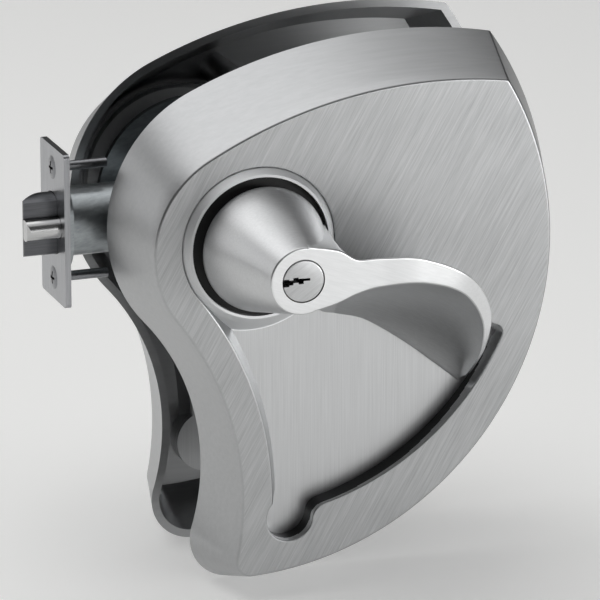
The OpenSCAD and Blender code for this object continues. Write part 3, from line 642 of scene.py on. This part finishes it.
@dataclass
class Trim:
    """Cast shield with its hand pocket, on one side."""

    side: Side
    depth: float = 30.0
    wall: float = 3.0
    floor_d: float = 21.0
    pocket_r: float = 103.0
    pocket_start: float = -23.4
    flank_land: float = 11.4
    flank_slope: float = 4.0
    # Drain lobe: centre and radius
    lobe: tuple[float, float, float] = (11.5, -104.0, 8.8)
    lobe_blend: float = 6.0
    skirt: float = 3.0
    pocket_corner: float = 3.0
    edge: float = 0.7
    lip: float = 0.45
    # Hub hole: radius at the pocket floor, and how it falls with height
    hub_foot_r: float = 34.3
    hub_slope: float = 7.4 / 11.5
    base: Shield = Shield((6.2, 1.5, 53.2), 114.2, 187.5, 221.7, 83.6, (-2.9, -9.6, 125.2), 16.0)
    front: Shield = Shield((0.2, -1.8, 39.1), 118.7, 177.7, 217.8, 115.0, (-4.8, -8.2, 116.5), 5.5)
    # Bolt posts: distance from the spindle axis and angle; thread: radius and depth; bolt seat: radius of the shank,
    # radius of the head and height that the head rests at
    posts: tuple[tuple[float, float], ...] = ((69.0, 25.8), (42.5, 65.0))
    post_r: float = 5.5
    thread: tuple[float, float] = (2.05, 14.5)
    bolt_seat: tuple[float, float, float] = (2.3, 4.4, 27.7)
    # Bearings on the drain lobe that face the ends of the shield's tip
    lobe_marks: tuple[float, float] = (185.0, 262.0)
    # Where the painted shade on the pocket wall starts: place along the swept arc from the lobe, and share of the way
    # down the wall
    cast_start: tuple[tuple[float, float], ...] = ((-0.3, 0.5), (0.0, 0.12), (0.4, 0.2), (0.7, 0.45), (1.0, 0.85))

    FINISHES = (Finish.WALL, Finish.FACE, Finish.CAST, Finish.MILLED)
    DRAFT_ROWS = 6
    LIP_ROWS = 5
    WALL_ROWS = 20
    # Rings of the front face, as shares of the way from its outer edge to the opening
    FACE_STEPS = (0.004, 0.2, 0.4, 0.6, 0.8, 0.992, 1)
    POST_COLS = 48

    def shell(self, inset: float, d: float) -> np.ndarray:
        """Outline of the drafted wall at a height: a straight mix of the base and front outlines."""
        k = d / self.depth
        return ring(self.base.points(inset) * (1 - k) + self.front.points(inset) * k, d)

    def opening(self, grow: float, d: float) -> np.ndarray:
        """Edge of the hub hole and pocket at a height.

        Runs along the swept arc, the rounded upper corner, the upper end, round the hub, down the sloped flank
        wall, round the drain lobe and over the rounded point beside it, each stretch in step with the shield
        stretch that faces it.

        Args:
            grow: distance outwards into the metal.
            d: height above the mounting face.

        Returns:
            Points in step with those of the shield.
        """
        n = Shield.COUNTS
        origin = np.zeros(2)
        out, up = polar(1, self.pocket_start), polar(1, self.pocket_start + 90)
        r, f = self.pocket_r + grow, self.pocket_corner + grow
        hub_r = self.hub_foot_r - self.hub_slope * (d - self.floor_d) + grow
        flank_c = self.front.flank_centre()
        wall_r = self.front.flank_r + self.flank_land + self.flank_slope * (self.depth - d) / (
            self.depth - self.floor_d) - grow
        lobe_c, lobe_r = np.array(self.lobe[:2]), self.lobe[2] + grow
        corner_c = math.sqrt((r - f) ** 2 - (grow - f) ** 2) * out + (grow - f) * up
        hub_end = math.sqrt(hub_r ** 2 - grow ** 2) * out + grow * up
        joins = [meet(flank_c, wall_r, origin, hub_r, s) for s in (1, -1)]
        join = min(joins, key=lambda p: p[0])
        foot = meet(flank_c, wall_r, lobe_c, lobe_r, 1)
        point_c = meet(lobe_c, self.lobe[2] + self.lobe_blend, origin, self.pocket_r + self.lobe_blend, -1)
        top = corner_c + f * up
        line = top + np.linspace(0, 1, n[2], endpoint=False)[:, None] * (hub_end - top)
        lobe_a = bearing(foot - lobe_c)
        lobe_b = lobe_a + (bearing(point_c - lobe_c) - lobe_a) % 360
        point_a = bearing(lobe_c - point_c)
        point_b = point_a - (point_a - bearing(-point_c)) % 360
        return ring(np.concatenate([
            arc(origin, r, bearing(point_c), bearing(corner_c), n[0]),
            arc(corner_c, f, bearing(corner_c), self.pocket_start + 90, n[1]),
            line,
            arc(origin, hub_r, bearing(hub_end), bearing(join) % 360, n[3] + n[4] + n[5]),
            arc(flank_c, wall_r, bearing(join - flank_c), bearing(foot - flank_c), n[6]),
            arc(lobe_c, lobe_r, lobe_a, self.lobe_marks[0], n[7]),
            arc(lobe_c, lobe_r, *self.lobe_marks, n[8]),
            arc(lobe_c, lobe_r, self.lobe_marks[1], lobe_b, n[9] // 2),
            arc(point_c, self.lobe_blend - grow, point_a, point_b, n[9] - n[9] // 2)]), d)

    def rings(self) -> tuple[np.ndarray, list[bool]]:
        """Rings once round the wall of the casting.

        They climb the drafted wall, turn a quarter circle on to the face, cross it, turn a quarter circle into the
        opening, go down to the pocket floor and come back under the face and down the inner wall.

        Returns:
            The rings, and whether each starts a stretch of the front face.
        """
        turn = np.radians(np.linspace(0, 90, self.LIP_ROWS + 1))
        rows = [self.shell(0, d) for d in np.linspace(0, self.depth - self.edge, self.DRAFT_ROWS + 1)[:-1]]
        rows += [self.shell(self.edge * (1 - math.cos(a)), self.depth - self.edge * (1 - math.sin(a))) for a in turn]
        flags = [False] * (len(rows) - 1)
        rim, hole = rows[-1], self.opening(self.lip, self.depth)
        rows += [rim + (hole - rim) * k for k in self.FACE_STEPS]
        flags += [True] * len(self.FACE_STEPS)
        rows += [self.opening(self.lip * (1 - math.sin(a)), self.depth - self.lip * (1 - math.cos(a)))
                 for a in turn[1:]]
        rows += [self.opening(0, d) for d in np.linspace(self.depth - self.lip, self.floor_d, self.WALL_ROWS + 1)[1:]]
        rows += [self.opening(self.skirt, self.floor_d), self.opening(self.skirt, self.depth - self.wall)]
        rows += [self.shell(self.wall, d) for d in (self.depth - self.wall, self.depth / 2, 0)]
        flags += [False] * (len(rows) - len(flags))
        return np.stack(rows), flags

    def slots(self, flags: list[bool], cols: int) -> np.ndarray:
        """Finish slot of each quad: drafted wall, front face, and the pocket wall, with a painted highlight above and
        painted shade below.

        Args:
            flags: whether each ring starts a stretch of the front face.
            cols: points in a ring.

        Returns:
            Slot numbers, a row for each ring.
        """
        slots = np.repeat(np.array(flags, dtype=np.int32)[:, None], cols, axis=1)
        swept, corner, *_, lobe, point = Shield.COUNTS
        along = np.arange(cols)
        along = np.where(along >= cols - lobe - point, along - cols, along)
        start = np.interp(along / swept, *zip(*self.cast_start))
        first = int(np.flatnonzero(flags).max()) + 1 + self.LIP_ROWS
        down = np.arange(self.WALL_ROWS)[:, None] / self.WALL_ROWS
        wall = slots[first:first + self.WALL_ROWS]
        # Painted highlight: the top of the swept wall and its corner are painted pale for the light they catch
        wall[:, along < swept + corner] = self.FINISHES.index(Finish.MILLED)
        # Painted shade: the lower part of the swept wall is painted dark for the shade along the pocket
        wall[(down >= start) & (along < swept)] = self.FINISHES.index(Finish.CAST)
        return slots

    def build(self, palette: Palette) -> bpy.types.Object:
        """Makes the casting as one closed surface of rings, with its bolt posts.

        Args:
            palette: hands out the finishes.

        Returns:
            The casting, seated.
        """
        rows, flags = self.rings()
        count, cols = rows.shape[:2]
        mirrored = self.side is Side.INSIDE
        casting = Solid(rows.reshape(-1, 3), [grid_faces(count, cols, True)], self.slots(flags, cols).ravel())
        piece = casting.make(f"{self.side.word}_trim", self.side.place, mirrored)
        palette.dress(piece, *self.FINISHES)
        for pitch, angle in self.posts:
            at = polar(pitch, angle)
            bore_r, bore_d = self.thread
            top_d = self.depth - self.wall / 2
            post = Solid.lathe([(0, bore_d), (bore_r, bore_d), (bore_r, 0), (self.post_r, 0), (self.post_r, top_d),
                                (0, top_d)], at, self.POST_COLS)
            self.change(piece, post, Join.ADD, palette)
            if mirrored:
                shank, head, head_d = self.bolt_seat
                past_d = self.depth + CUT_PAST
                hole = Solid.lathe([(0, -CUT_PAST), (shank, -CUT_PAST), (shank, head_d), (head, head_d),
                                    (head, past_d), (0, past_d)], at, self.POST_COLS)
                self.change(piece, hole, Join.CUT, palette)
        return seat(piece, "chassis", f"{self.side.word}_escutcheon")

    def change(self, piece: bpy.types.Object, solid: Solid, how: Join, palette: Palette) -> None:
        """Adds a post to the casting or cuts a bolt seat into it.

        Args:
            piece: the casting.
            solid: post or bolt seat.
            how: add or cut.
            palette: hands out the finishes.
        """
        tool = solid.make("tool", self.side.place, self.side is Side.INSIDE)
        palette.dress(tool, Finish.WALL)
        combine(piece, tool, how)


@dataclass(frozen=True)
class Section:
    """One station of the lever.

    It gives the root's share of the reach, its fall to the pocket floor and its two angles, the share and angle of
    each face edge, and the share of the drop.
    """

    root: float
    fall: float
    low: float
    high: float
    top: tuple[float, float]
    foot: tuple[float, float]
    drop: float


@dataclass
class Lever:
    """Cast lever: a turned hub, and a blade that sweeps down to the pocket."""

    side: Side
    face_d: float = 77.0
    reach: float = 101.0
    hub_face_r: float = 12.2
    hub_foot_r: float = 23.0
    hub_foot_d: float = 33.0
    hub_round: float = 3.2
    hub_edge: float = 0.6
    # Ring inside the rim of the hub face, in edge radii from the side
    hub_land: float = 1.4
    # Journal: radius, and height of its end
    journal: tuple[float, float] = (19.0, 15.0)
    collar_r: float = 34.0
    neck_d: float = 34.0
    root_d: float = 21.6
    back_d: float = 31.0
    tip_rise: float = 5.0
    # Seat of the key plug: radius, and height of its floor
    plug_seat: tuple[float, float] = (7.85, 71.9)
    edge_r: float = 0.8
    crease: float = 55.0
    lip_r: float = 2.2
    lift: float = 0.02
    # Height of the back's foot: at least this above the root, and at most this above the face edge
    back_rise: tuple[float, float] = (0.5, 1.0)
    # Shares of the way from face edge to root at which the scoop's control point stands, in x, y and d
    scoop_pull: tuple[float, float, float] = (0.3, 0.3, 0.7)
    scoop_span: tuple[float, float] = (0.04, 0.94)
    # The last part of a section, over which the tip closes, and how far it draws in
    tip_span: float = 0.06
    tip_draw: float = 0.8
    # Start of the flat strip beside the rounded edge, in edge radii, and its limit as a share of the width
    strip_start: tuple[float, float] = (1.25, 0.47)

    SECTIONS = (
        Section(-0.299, 0, -52, 60, (0.005, 81), (-0.001, -80.5), 0),
        Section(-0.149, 0, -52, 15, (0.047, 37.6), (0.036, -39), 0),
        Section(0.007, 0.15, -50, -24.6, (0.098, 16.7), (0.1, -18.8), 0),
        Section(0.134, 0.8, -45.5, -24.6, (0.195, 10.9), (0.194, -10), 0),
        Section(0.313, 1, -39.5, -24.6, (0.37, 4.6), (0.373, -7), 0),
        Section(0.567, 1, -38, -24.6, (0.587, -5.4), (0.563, -11.1), 0.065),
        Section(0.791, 1, -38, -24.6, (0.769, -17), (0.747, -20.5), 0.33),
        Section(0.94, 1, -38, -24.6, (0.907, -27.6), (0.896, -29.5), 0.69),
        Section(1, 1, -38, -24.6, (0.997, -34.8), (0.985, -36.2), 1),
    )

    SWEEP_ROWS = 120
    TIP_ROWS = 7
    EDGE_COLS = 6
    LIP_COLS = 9
    SCOOP_COLS = 28
    STRIP_STEPS = (0, 0.25, 0.5, 0.75, 1)
    # Columns of the blade that take the painted highlight: the strip and the nearest parts of its rounded edges
    BUFFED = slice(4, 12)
    HUB_COLS = 192
    FOOT_ROWS = 10
    CONE_ROWS = 26

    def face_edge(self, edge: str) -> np.ndarray:
        """Points of one edge of the lever face, lifted a hair so that it covers the hub face.

        Args:
            edge: field of the section that holds it, top or foot.

        Returns:
            A point for each section.
        """
        rows = []
        for s in self.SECTIONS:
            share, angle = getattr(s, edge)
            d = self.face_d + self.lift - s.drop * (self.face_d - self.root_d - self.tip_rise)
            rows.append([*polar(self.hub_face_r + share * (self.reach - self.hub_face_r), angle), d])
        return np.array(rows)

    def root_edge(self, angle: str, raised: bool) -> np.ndarray:
        """Points of one edge of the root.

        Args:
            angle: field of the section that holds its angle, low or high.
            raised: True for the foot of the back, which stands above the root.

        Returns:
            A point for each section.
        """
        rows = []
        tops = self.face_edge("top")
        for s, top in zip(self.SECTIONS, tops):
            low = self.neck_d + (self.root_d - self.neck_d) * s.fall
            over_root, over_face = self.back_rise
            d = max(low + over_root, min(self.back_d, top[2] + over_face)) if raised else low
            rows.append([*polar(self.collar_r + s.root * (self.reach - self.collar_r), getattr(s, angle)), d])
        return np.array(rows)

    @staticmethod
    def glide(rows: np.ndarray, u: np.ndarray) -> np.ndarray:
        """Cubic curve that passes through every row, each tangent half the step between its neighbours.

        Args:
            rows: points that it passes through.
            u: places along it, a whole number at each row.

        Returns:
            A point for each place.
        """
        padded = np.vstack([2 * rows[0] - rows[1], rows, 2 * rows[-1] - rows[-2]])
        i = np.minimum(u.astype(int), len(rows) - 2)
        t = (u - i)[:, None]
        a, b, c, d = (padded[i + k] for k in range(4))
        return 0.5 * (2 * b + (c - a) * t + (2 * a - 5 * b + 4 * c - d) * t ** 2 + (3 * b - a - 3 * c + d) * t ** 3)

    @staticmethod
    def straight(rows: np.ndarray, u: np.ndarray) -> np.ndarray:
        """Straight stretches between the rows."""
        i = np.minimum(u.astype(int), len(rows) - 2)
        return rows[i] + (rows[i + 1] - rows[i]) * (u - i)[:, None]

    @staticmethod
    def rounded(before: np.ndarray, corner: np.ndarray, after: np.ndarray, r: float, n: int) -> np.ndarray:
        """Quadratic curve round a corner.

        Args:
            before: points that the section comes from.
            corner: the corner points.
            after: points that the section goes on to.
            r: distance from the corner at which the curve starts and ends, at most 0.45 of a side.
            n: points along the curve.

        Returns:
            Array of n rows, each with a point for every section.
        """
        ends = []
        for p in (before, after):
            length = np.maximum(np.linalg.norm(p - corner, axis=-1, keepdims=True), TINY)
            ends.append(corner + (p - corner) / length * np.minimum(r, 0.45 * length))
        t = np.linspace(0, 1, n)[:, None, None]
        return ends[0] * (1 - t) ** 2 + corner * 2 * t * (1 - t) + ends[1] * t ** 2

    def blade(self) -> Solid:
        """Closed blade: face, scooped underside, root and back carried from hub to tip.

        The underside is a quadratic curve from the lower face edge to the root, pulled inwards near the root. The
        edges of the face are rounded, and the last sections close in so the tip is rounded too.

        Returns:
            The blade.
        """
        last = len(self.SECTIONS) - 1
        tip = self.tip_span
        u = np.concatenate([np.linspace(0, last - tip, self.SWEEP_ROWS),
                            last - tip * (1 - np.linspace(0, 1, self.TIP_ROWS)[1:])])
        a, b = self.glide(self.face_edge("top"), u), self.glide(self.face_edge("foot"), u)
        low = self.root_edge("low", False)
        c, e = self.straight(low, u), self.straight(self.root_edge("high", False), u)
        c[:, :2] = self.glide(low, u)[:, :2]
        back = self.straight(self.root_edge("high", True), u)
        q = b + (c - b) * np.array(self.scoop_pull)
        scoop = [b * (1 - t) ** 2 + q * 2 * t * (1 - t) + c * t ** 2
                 for t in np.linspace(*self.scoop_span, self.SCOOP_COLS)]
        width = np.maximum(np.linalg.norm(b - a, axis=-1, keepdims=True), TINY)
        start, limit = self.strip_start
        edge = np.minimum(start * self.edge_r, limit * width) / width
        strip = [a + (b - a) * (edge + (1 - 2 * edge) * k) for k in self.STRIP_STEPS]
        rows = np.concatenate([
            self.rounded(back, a, b, self.edge_r, self.EDGE_COLS), strip,
            self.rounded(a, b, scoop[0], self.edge_r, self.EDGE_COLS), scoop,
            self.rounded(scoop[-1], c, e, self.lip_r, self.LIP_COLS), e[None], back[None]]).transpose(1, 0, 2)
        k = np.clip((u - last + tip) / tip, 0, 1)
        close = self.tip_draw * (1 - np.sqrt(1 - k * k))[:, None, None]
        inward = rows.mean(1, keepdims=True) - rows
        inward /= np.maximum(np.linalg.norm(inward, axis=-1, keepdims=True), TINY)
        slots = np.zeros((len(rows) - 1, rows.shape[1]), dtype=np.int32)
        slots[:, self.BUFFED] = 1
        return Solid.tube(rows + inward * close, slots)

    def hub(self) -> Solid:
        """Turned hub: a journal, a foot rounded by a quarter circle, a cone, and a face with a rounded rim.

        Returns:
            The hub; its face takes the second finish slot.
        """
        turn = np.radians(np.linspace(0, 90, self.FOOT_ROWS))
        r, d, f = self.hub_foot_r, self.hub_foot_d, self.hub_round
        foot = [(r - f * (1 - math.sin(a)), d + f * (1 - math.cos(a))) for a in turn]
        e = self.hub_edge
        rim = [(self.hub_face_r - e * (1 - math.cos(a)), self.face_d - e * (1 - math.sin(a))) for a in turn[::3]]
        journal_r, journal_d = self.journal
        cone = [tuple(np.array(foot[-1]) + (np.array(rim[0]) - foot[-1]) * k)
                for k in np.linspace(0, 1, self.CONE_ROWS)[1:-1]]
        return Solid.lathe([(0, journal_d), (journal_r, journal_d), (journal_r, d), *foot, *cone, *rim,
                            (self.hub_face_r - self.hub_land * e, self.face_d), (0, self.face_d)],
                           cols=self.HUB_COLS, face_rows=3)

    def build(self, palette: Palette) -> bpy.types.Object:
        """Makes the lever from hub and blade and rides it on its own body.

        Args:
            palette: hands out the finishes.

        Returns:
            The lever, seated.
        """
        mirrored = self.side is Side.INSIDE
        piece = self.hub().make(f"{self.side.word}_lever_casting", self.side.place, mirrored)
        blade = self.blade().make("blade", self.side.place, mirrored)
        for part in (piece, blade):
            # The second slot, on the lever face and the hub face, is a painted highlight
            palette.dress(part, Finish.LEVER, Finish.STRIP)
        combine(piece, blade, Join.ADD, self.crease)
        if not mirrored:
            seat_r, seat_d = self.plug_seat
            past_d = self.face_d + 3 * CUT_PAST
            bore = Solid.lathe([(0, seat_d), (seat_r, seat_d), (seat_r, past_d), (0, past_d)])
            tool = bore.make("plug_seat", self.side.place)
            palette.dress(tool, Finish.LEVER)
            combine(piece, tool, Join.CUT, self.crease)
        return seat(piece, f"{self.side.word}_lever", f"{self.side.word}_lever")


@dataclass
class KeyPlug:
    """Plug of the key cylinder, with a warded keyway in its face."""

    head_r: float = 7.6
    head_d: float = 72.05
    face_d: float = 77.0
    barrel_r: float = 6.3
    edge: float = 0.45
    keyway_d: float = 57.0
    # Steps of the keyway: right end of each step, its lower side and its upper side
    wards: tuple[tuple[float, float, float], ...] = (
        (-5.3, -1.5, 1.2), (-3.8, -1.0, 0.8), (-1.9, -0.3, 1.6), (0.0, -0.9, 1.1), (2.4, 0.1, 1.0))
    keyway_x: float = -7.9

    EDGE_ROWS = 5

    def keyway(self) -> np.ndarray:
        """Outline of the keyway: its lower steps to the right, then its upper steps back.

        Returns:
            Points turning left.
        """
        low, high, x = [], [], self.keyway_x
        for end, bottom, top in self.wards:
            low += [(x, bottom), (end, bottom)]
            high += [(x, top), (end, top)]
            x = end
        return np.array(low + high[::-1])

    def build(self, palette: Palette) -> bpy.types.Object:
        """Turns the plug, rounds its edge by a quarter circle and cuts the keyway.

        Args:
            palette: hands out the finishes.

        Returns:
            The plug, seated.
        """
        turn = np.radians(np.linspace(0, 90, self.EDGE_ROWS))
        foot_d = -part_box("key_plug")[1][1] / MM - MOUNT_GAP / 2
        rim = [(self.head_r - self.edge * (1 - math.cos(a)), self.face_d - self.edge * (1 - math.sin(a)))
               for a in turn]
        plug = Solid.lathe([(0, foot_d), (self.barrel_r, foot_d), (self.barrel_r, self.head_d),
                            (self.head_r, self.head_d), *rim, (0, self.face_d)])
        piece = plug.make("warded_key_plug", Side.OUTSIDE.place)
        palette.dress(piece, Finish.PLUG)
        cut = Solid.prism(self.keyway(), self.keyway_d, self.face_d + CUT_PAST)
        tool = cut.make("keyway", Side.OUTSIDE.place)
        # The keyway's cut faces take painted shade
        palette.dress(tool, Finish.KEYWAY)
        combine(piece, tool, Join.CUT)
        return seat(piece, "key_plug", "key_plug")


@dataclass
class EdgeScrews:
    """The two oval-head screws of the faceplate."""

    pitch: float = 41.3
    head_r: float = 4.2
    rise: float = 0.7
    sink: float = 2.2
    shank_r: float = 1.8
    length: float = 20.2
    # Cross recess: length of an arm, half its width, and depth
    cross: tuple[float, float, float] = (2.3, 0.5, 1.0)

    DOME_ROWS = 8
    HEAD_COLS = 64

    def recess(self) -> np.ndarray:
        """Outline of the cross: the corners of one arm, turned by a quarter three times.

        Returns:
            Points turning left.
        """
        arm, w, _ = self.cross
        return np.array([(arm, -w), (arm, w), (w, w), (w, arm), (-w, arm), (-w, w), (-arm, w), (-arm, -w), (-w, -w),
                         (-w, -arm), (w, -arm), (w, -w)])

    def build(self, palette: Palette) -> bpy.types.Object:
        """Makes both screws as one piece: countersunk cone, dome that falls with the radius squared, cross recess.

        Args:
            palette: hands out the finishes.

        Returns:
            The screws, seated.
        """
        dome = [(self.head_r * k, self.rise * (1 - k * k)) for k in np.linspace(1, 0, self.DOME_ROWS)[1:-1]]
        screw = Solid.lathe([(0, -self.length), (self.shank_r, -self.length), (self.shank_r, -self.sink),
                             (self.head_r - self.sink, -self.sink), (self.head_r, 0), *dome, (0, self.rise)],
                            cols=self.HEAD_COLS)
        cross = Solid.prism(self.recess(), -self.cross[2], self.rise + CUT_PAST)
        whole: Optional[bpy.types.Object] = None
        for y in (-self.pitch / 2, self.pitch / 2):
            piece = screw.moved(0, y).make("oval_head_screws", on_edge)
            palette.dress(piece, Finish.SCREW)
            tool = cross.moved(0, y).make("cross", on_edge)
            # The cross recess's cut faces take painted shade
            palette.dress(tool, Finish.KEYWAY)
            combine(piece, tool, Join.CUT)
            if whole is None:
                whole = piece
            else:
                combine(whole, piece, Join.ADD)
        return seat(whole, "chassis", "faceplate_screws")


class Hardware:
    """The CAD nodes that keep their own shape and take a finish."""

    FINISHES = {
        Finish.FLOOR: ("outside_pocket_pan", "inside_pocket_pan"),
        Finish.NYLON: ("outside_hub_bushing", "inside_hub_bushing"),
        Finish.PLUNGER: ("deadlatch_plunger",),
        Finish.BOLT: ("latch_bolt", "latch_tail"),
        Finish.PLATE: ("faceplate",),
        Finish.BRASS: ("key_cylinder", "tailpiece"),
        Finish.SPRING: ("outside_return_spring", "inside_return_spring", "retractor_springs", "latch_spring",
                        "plunger_spring"),
    }

    def dress(self, palette: Palette) -> None:
        """Gives every node a finish; those not named are zinc plated.

        Args:
            palette: hands out the finishes.
        """
        named = {node: finish for finish, nodes in self.FINISHES.items() for node in nodes}
        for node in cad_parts:
            finish = named.get(node, Finish.ZINC)
            palette.dress_node(node, finish)
            LOG.info("node %s: %s", node, finish.name.lower())


@dataclass(frozen=True)
class Lamp:
    """One soft box: where it stands, what it faces, its width and height in metres and its power in watts."""

    name: str
    place: tuple[float, float, float]
    width: float
    height: float
    power: float
    aim: tuple[float, float, float] = (0.02, -0.05, -0.02)

    def make(self) -> None:
        """Adds the lamp."""
        data = bpy.data.lights.new(self.name, "AREA")
        data.shape, data.size, data.size_y, data.energy = "RECTANGLE", self.width, self.height, self.power
        lamp = bpy.data.objects.new(self.name, data)
        lamp.location = self.place
        lamp.rotation_mode = "QUATERNION"
        lamp.rotation_quaternion = (Vector(self.aim) - Vector(self.place)).to_track_quat("-Z", "Y")
        bpy.context.scene.collection.objects.link(lamp)


@dataclass
class Studio:
    """Camera at the photograph's angle, a pale floor and soft boxes."""

    floor_z: float
    camera_mm: tuple[float, float, float] = (-618.4, -1821.9, 559.5)
    azimuth: float = -19.706
    elevation: float = 17.191
    roll: float = -0.08
    lens: float = 330.6
    sensor: float = 36.0
    clip: tuple[float, float] = (0.1, 50.0)
    floor_half: float = 6.0
    floor_colour: str = "#e6e6e4"
    floor_roughness: float = 0.9
    floor_glow: float = 0.3
    # Strength of the surround, and the upward parts of a direction between which it rises
    sky: tuple[float, float] = (0.04, 0.08)
    sky_span: tuple[float, float] = (-0.2, 0.9)
    backdrop: float = 0.66
    white: str = "#ffffff"
    lamps: tuple[Lamp, ...] = (
        Lamp("overhead", (-0.25, 0.15, 1.3), 1.4, 1.2, 5.0),
        Lamp("overhead_wide", (0.0, 0.1, 1.7), 2.8, 2.4, 12.0),
        Lamp("back_left", (-0.75, 0.9, 1.0), 0.8, 0.6, 2.0),
        Lamp("left_back", (-1.1, 0.75, 0.35), 0.7, 0.7, 1.6),
        Lamp("right_low", (0.8, -0.75, -0.02), 0.4, 0.2, 1.8),
        Lamp("low_right", (0.75, -1.25, 0.10), 0.8, 0.4, 3.0),
    )

    def build(self) -> None:
        """Adds camera, floor, world and lamps."""
        self.add_camera()
        self.add_floor()
        self.add_world()
        for lamp in self.lamps:
            lamp.make()
        bpy.context.scene.view_settings.view_transform = "Standard"

    def add_camera(self) -> None:
        """Adds the camera with its axes built from azimuth, elevation and roll."""
        a, e, w = (math.radians(v) for v in (self.azimuth, self.elevation, self.roll))
        back = Vector((math.sin(a) * math.cos(e), -math.cos(a) * math.cos(e), math.sin(e)))
        right = (-back).cross(Vector((0, 0, 1))).normalized()
        up = right.cross(-back)
        right, up = right * math.cos(w) + up * math.sin(w), up * math.cos(w) - right * math.sin(w)
        data = bpy.data.cameras.new("camera")
        data.lens, data.sensor_width = self.lens, self.sensor
        data.clip_start, data.clip_end = self.clip
        camera = bpy.data.objects.new("camera", data)
        turn = Matrix((right, up, back)).transposed().to_4x4()
        camera.matrix_world = Matrix.Translation(Vector(self.camera_mm) * MM) @ turn
        bpy.context.scene.collection.objects.link(camera)
        bpy.context.scene.camera = camera

    def add_floor(self) -> None:
        """Adds a wide pale floor under the trim; the eye and the metal see it a little paler than it is lit."""
        mat = bare_material("matt_paper_floor")
        tree = mat.node_tree
        path = add_node(tree, "ShaderNodeLightPath")
        direct = add_node(tree, "ShaderNodeMath", {"operation": "MAXIMUM"}, {
            0: path.outputs["Is Camera Ray"], 1: path.outputs["Is Glossy Ray"]})
        seen = add_node(tree, "ShaderNodeMath", {"operation": "MAXIMUM"}, {
            0: direct.outputs["Value"], 1: path.outputs["Is Transmission Ray"]})
        glow = add_node(tree, "ShaderNodeMath", {"operation": "MULTIPLY"}, {
            0: seen.outputs["Value"], 1: self.floor_glow})
        shader = add_node(tree, "ShaderNodeBsdfPrincipled", inputs={
            "Base Color": linear(self.floor_colour), "Roughness": self.floor_roughness,
            "Emission Color": linear(self.white), "Emission Strength": glow.outputs["Value"]})
        add_node(tree, "ShaderNodeOutputMaterial", inputs={"Surface": shader.outputs["BSDF"]})
        corners = ring(self.floor_half * np.array([(-1, -1), (1, -1), (1, 1), (-1, 1)]), self.floor_z)
        floor = Solid(corners, [np.array([[0, 1, 2, 3]])]).make("floor", lambda p: p)
        floor.data.materials.append(mat)
        floor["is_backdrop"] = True

    def add_world(self) -> None:
        """Adds a soft grey surround that brightens upwards; the eye sees it as a pale backdrop."""
        world = bpy.data.worlds.new("surround")
        world.use_nodes = True
        tree = world.node_tree
        tree.nodes.clear()
        coord = add_node(tree, "ShaderNodeTexCoord")
        axes = add_node(tree, "ShaderNodeSeparateXYZ", inputs={"Vector": coord.outputs["Generated"]})
        height = add_node(tree, "ShaderNodeMapRange", inputs={
            "Value": axes.outputs["Z"], "From Min": self.sky_span[0], "From Max": self.sky_span[1],
            "To Min": self.sky[0], "To Max": self.sky[1]})
        path = add_node(tree, "ShaderNodeLightPath")
        strength = add_node(tree, "ShaderNodeMath", {"operation": "MULTIPLY_ADD"}, {
            0: path.outputs["Is Camera Ray"], 1: self.backdrop, 2: height.outputs["Result"]})
        glow = add_node(tree, "ShaderNodeBackground", inputs={
            "Color": linear(self.white), "Strength": strength.outputs["Value"]})
        add_node(tree, "ShaderNodeOutputWorld", inputs={"Surface": glow.outputs["Background"]})
        bpy.context.scene.world = world


def main() -> None:
    """Builds the studio, dresses the frame and adds the smooth pieces."""
    logging.basicConfig(level=logging.INFO, format="%(name)s: %(message)s")
    cad_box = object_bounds()
    palette = Palette()
    Studio(floor_z=cad_box[0][2] - FLOOR_GAP * MM).build()
    Hardware().dress(palette)
    for side in Side:
        Trim(side).build(palette)
        Lever(side).build(palette)
    KeyPlug().build(palette)
    EdgeScrews().build(palette)


if __name__ == "__main__":
    main()
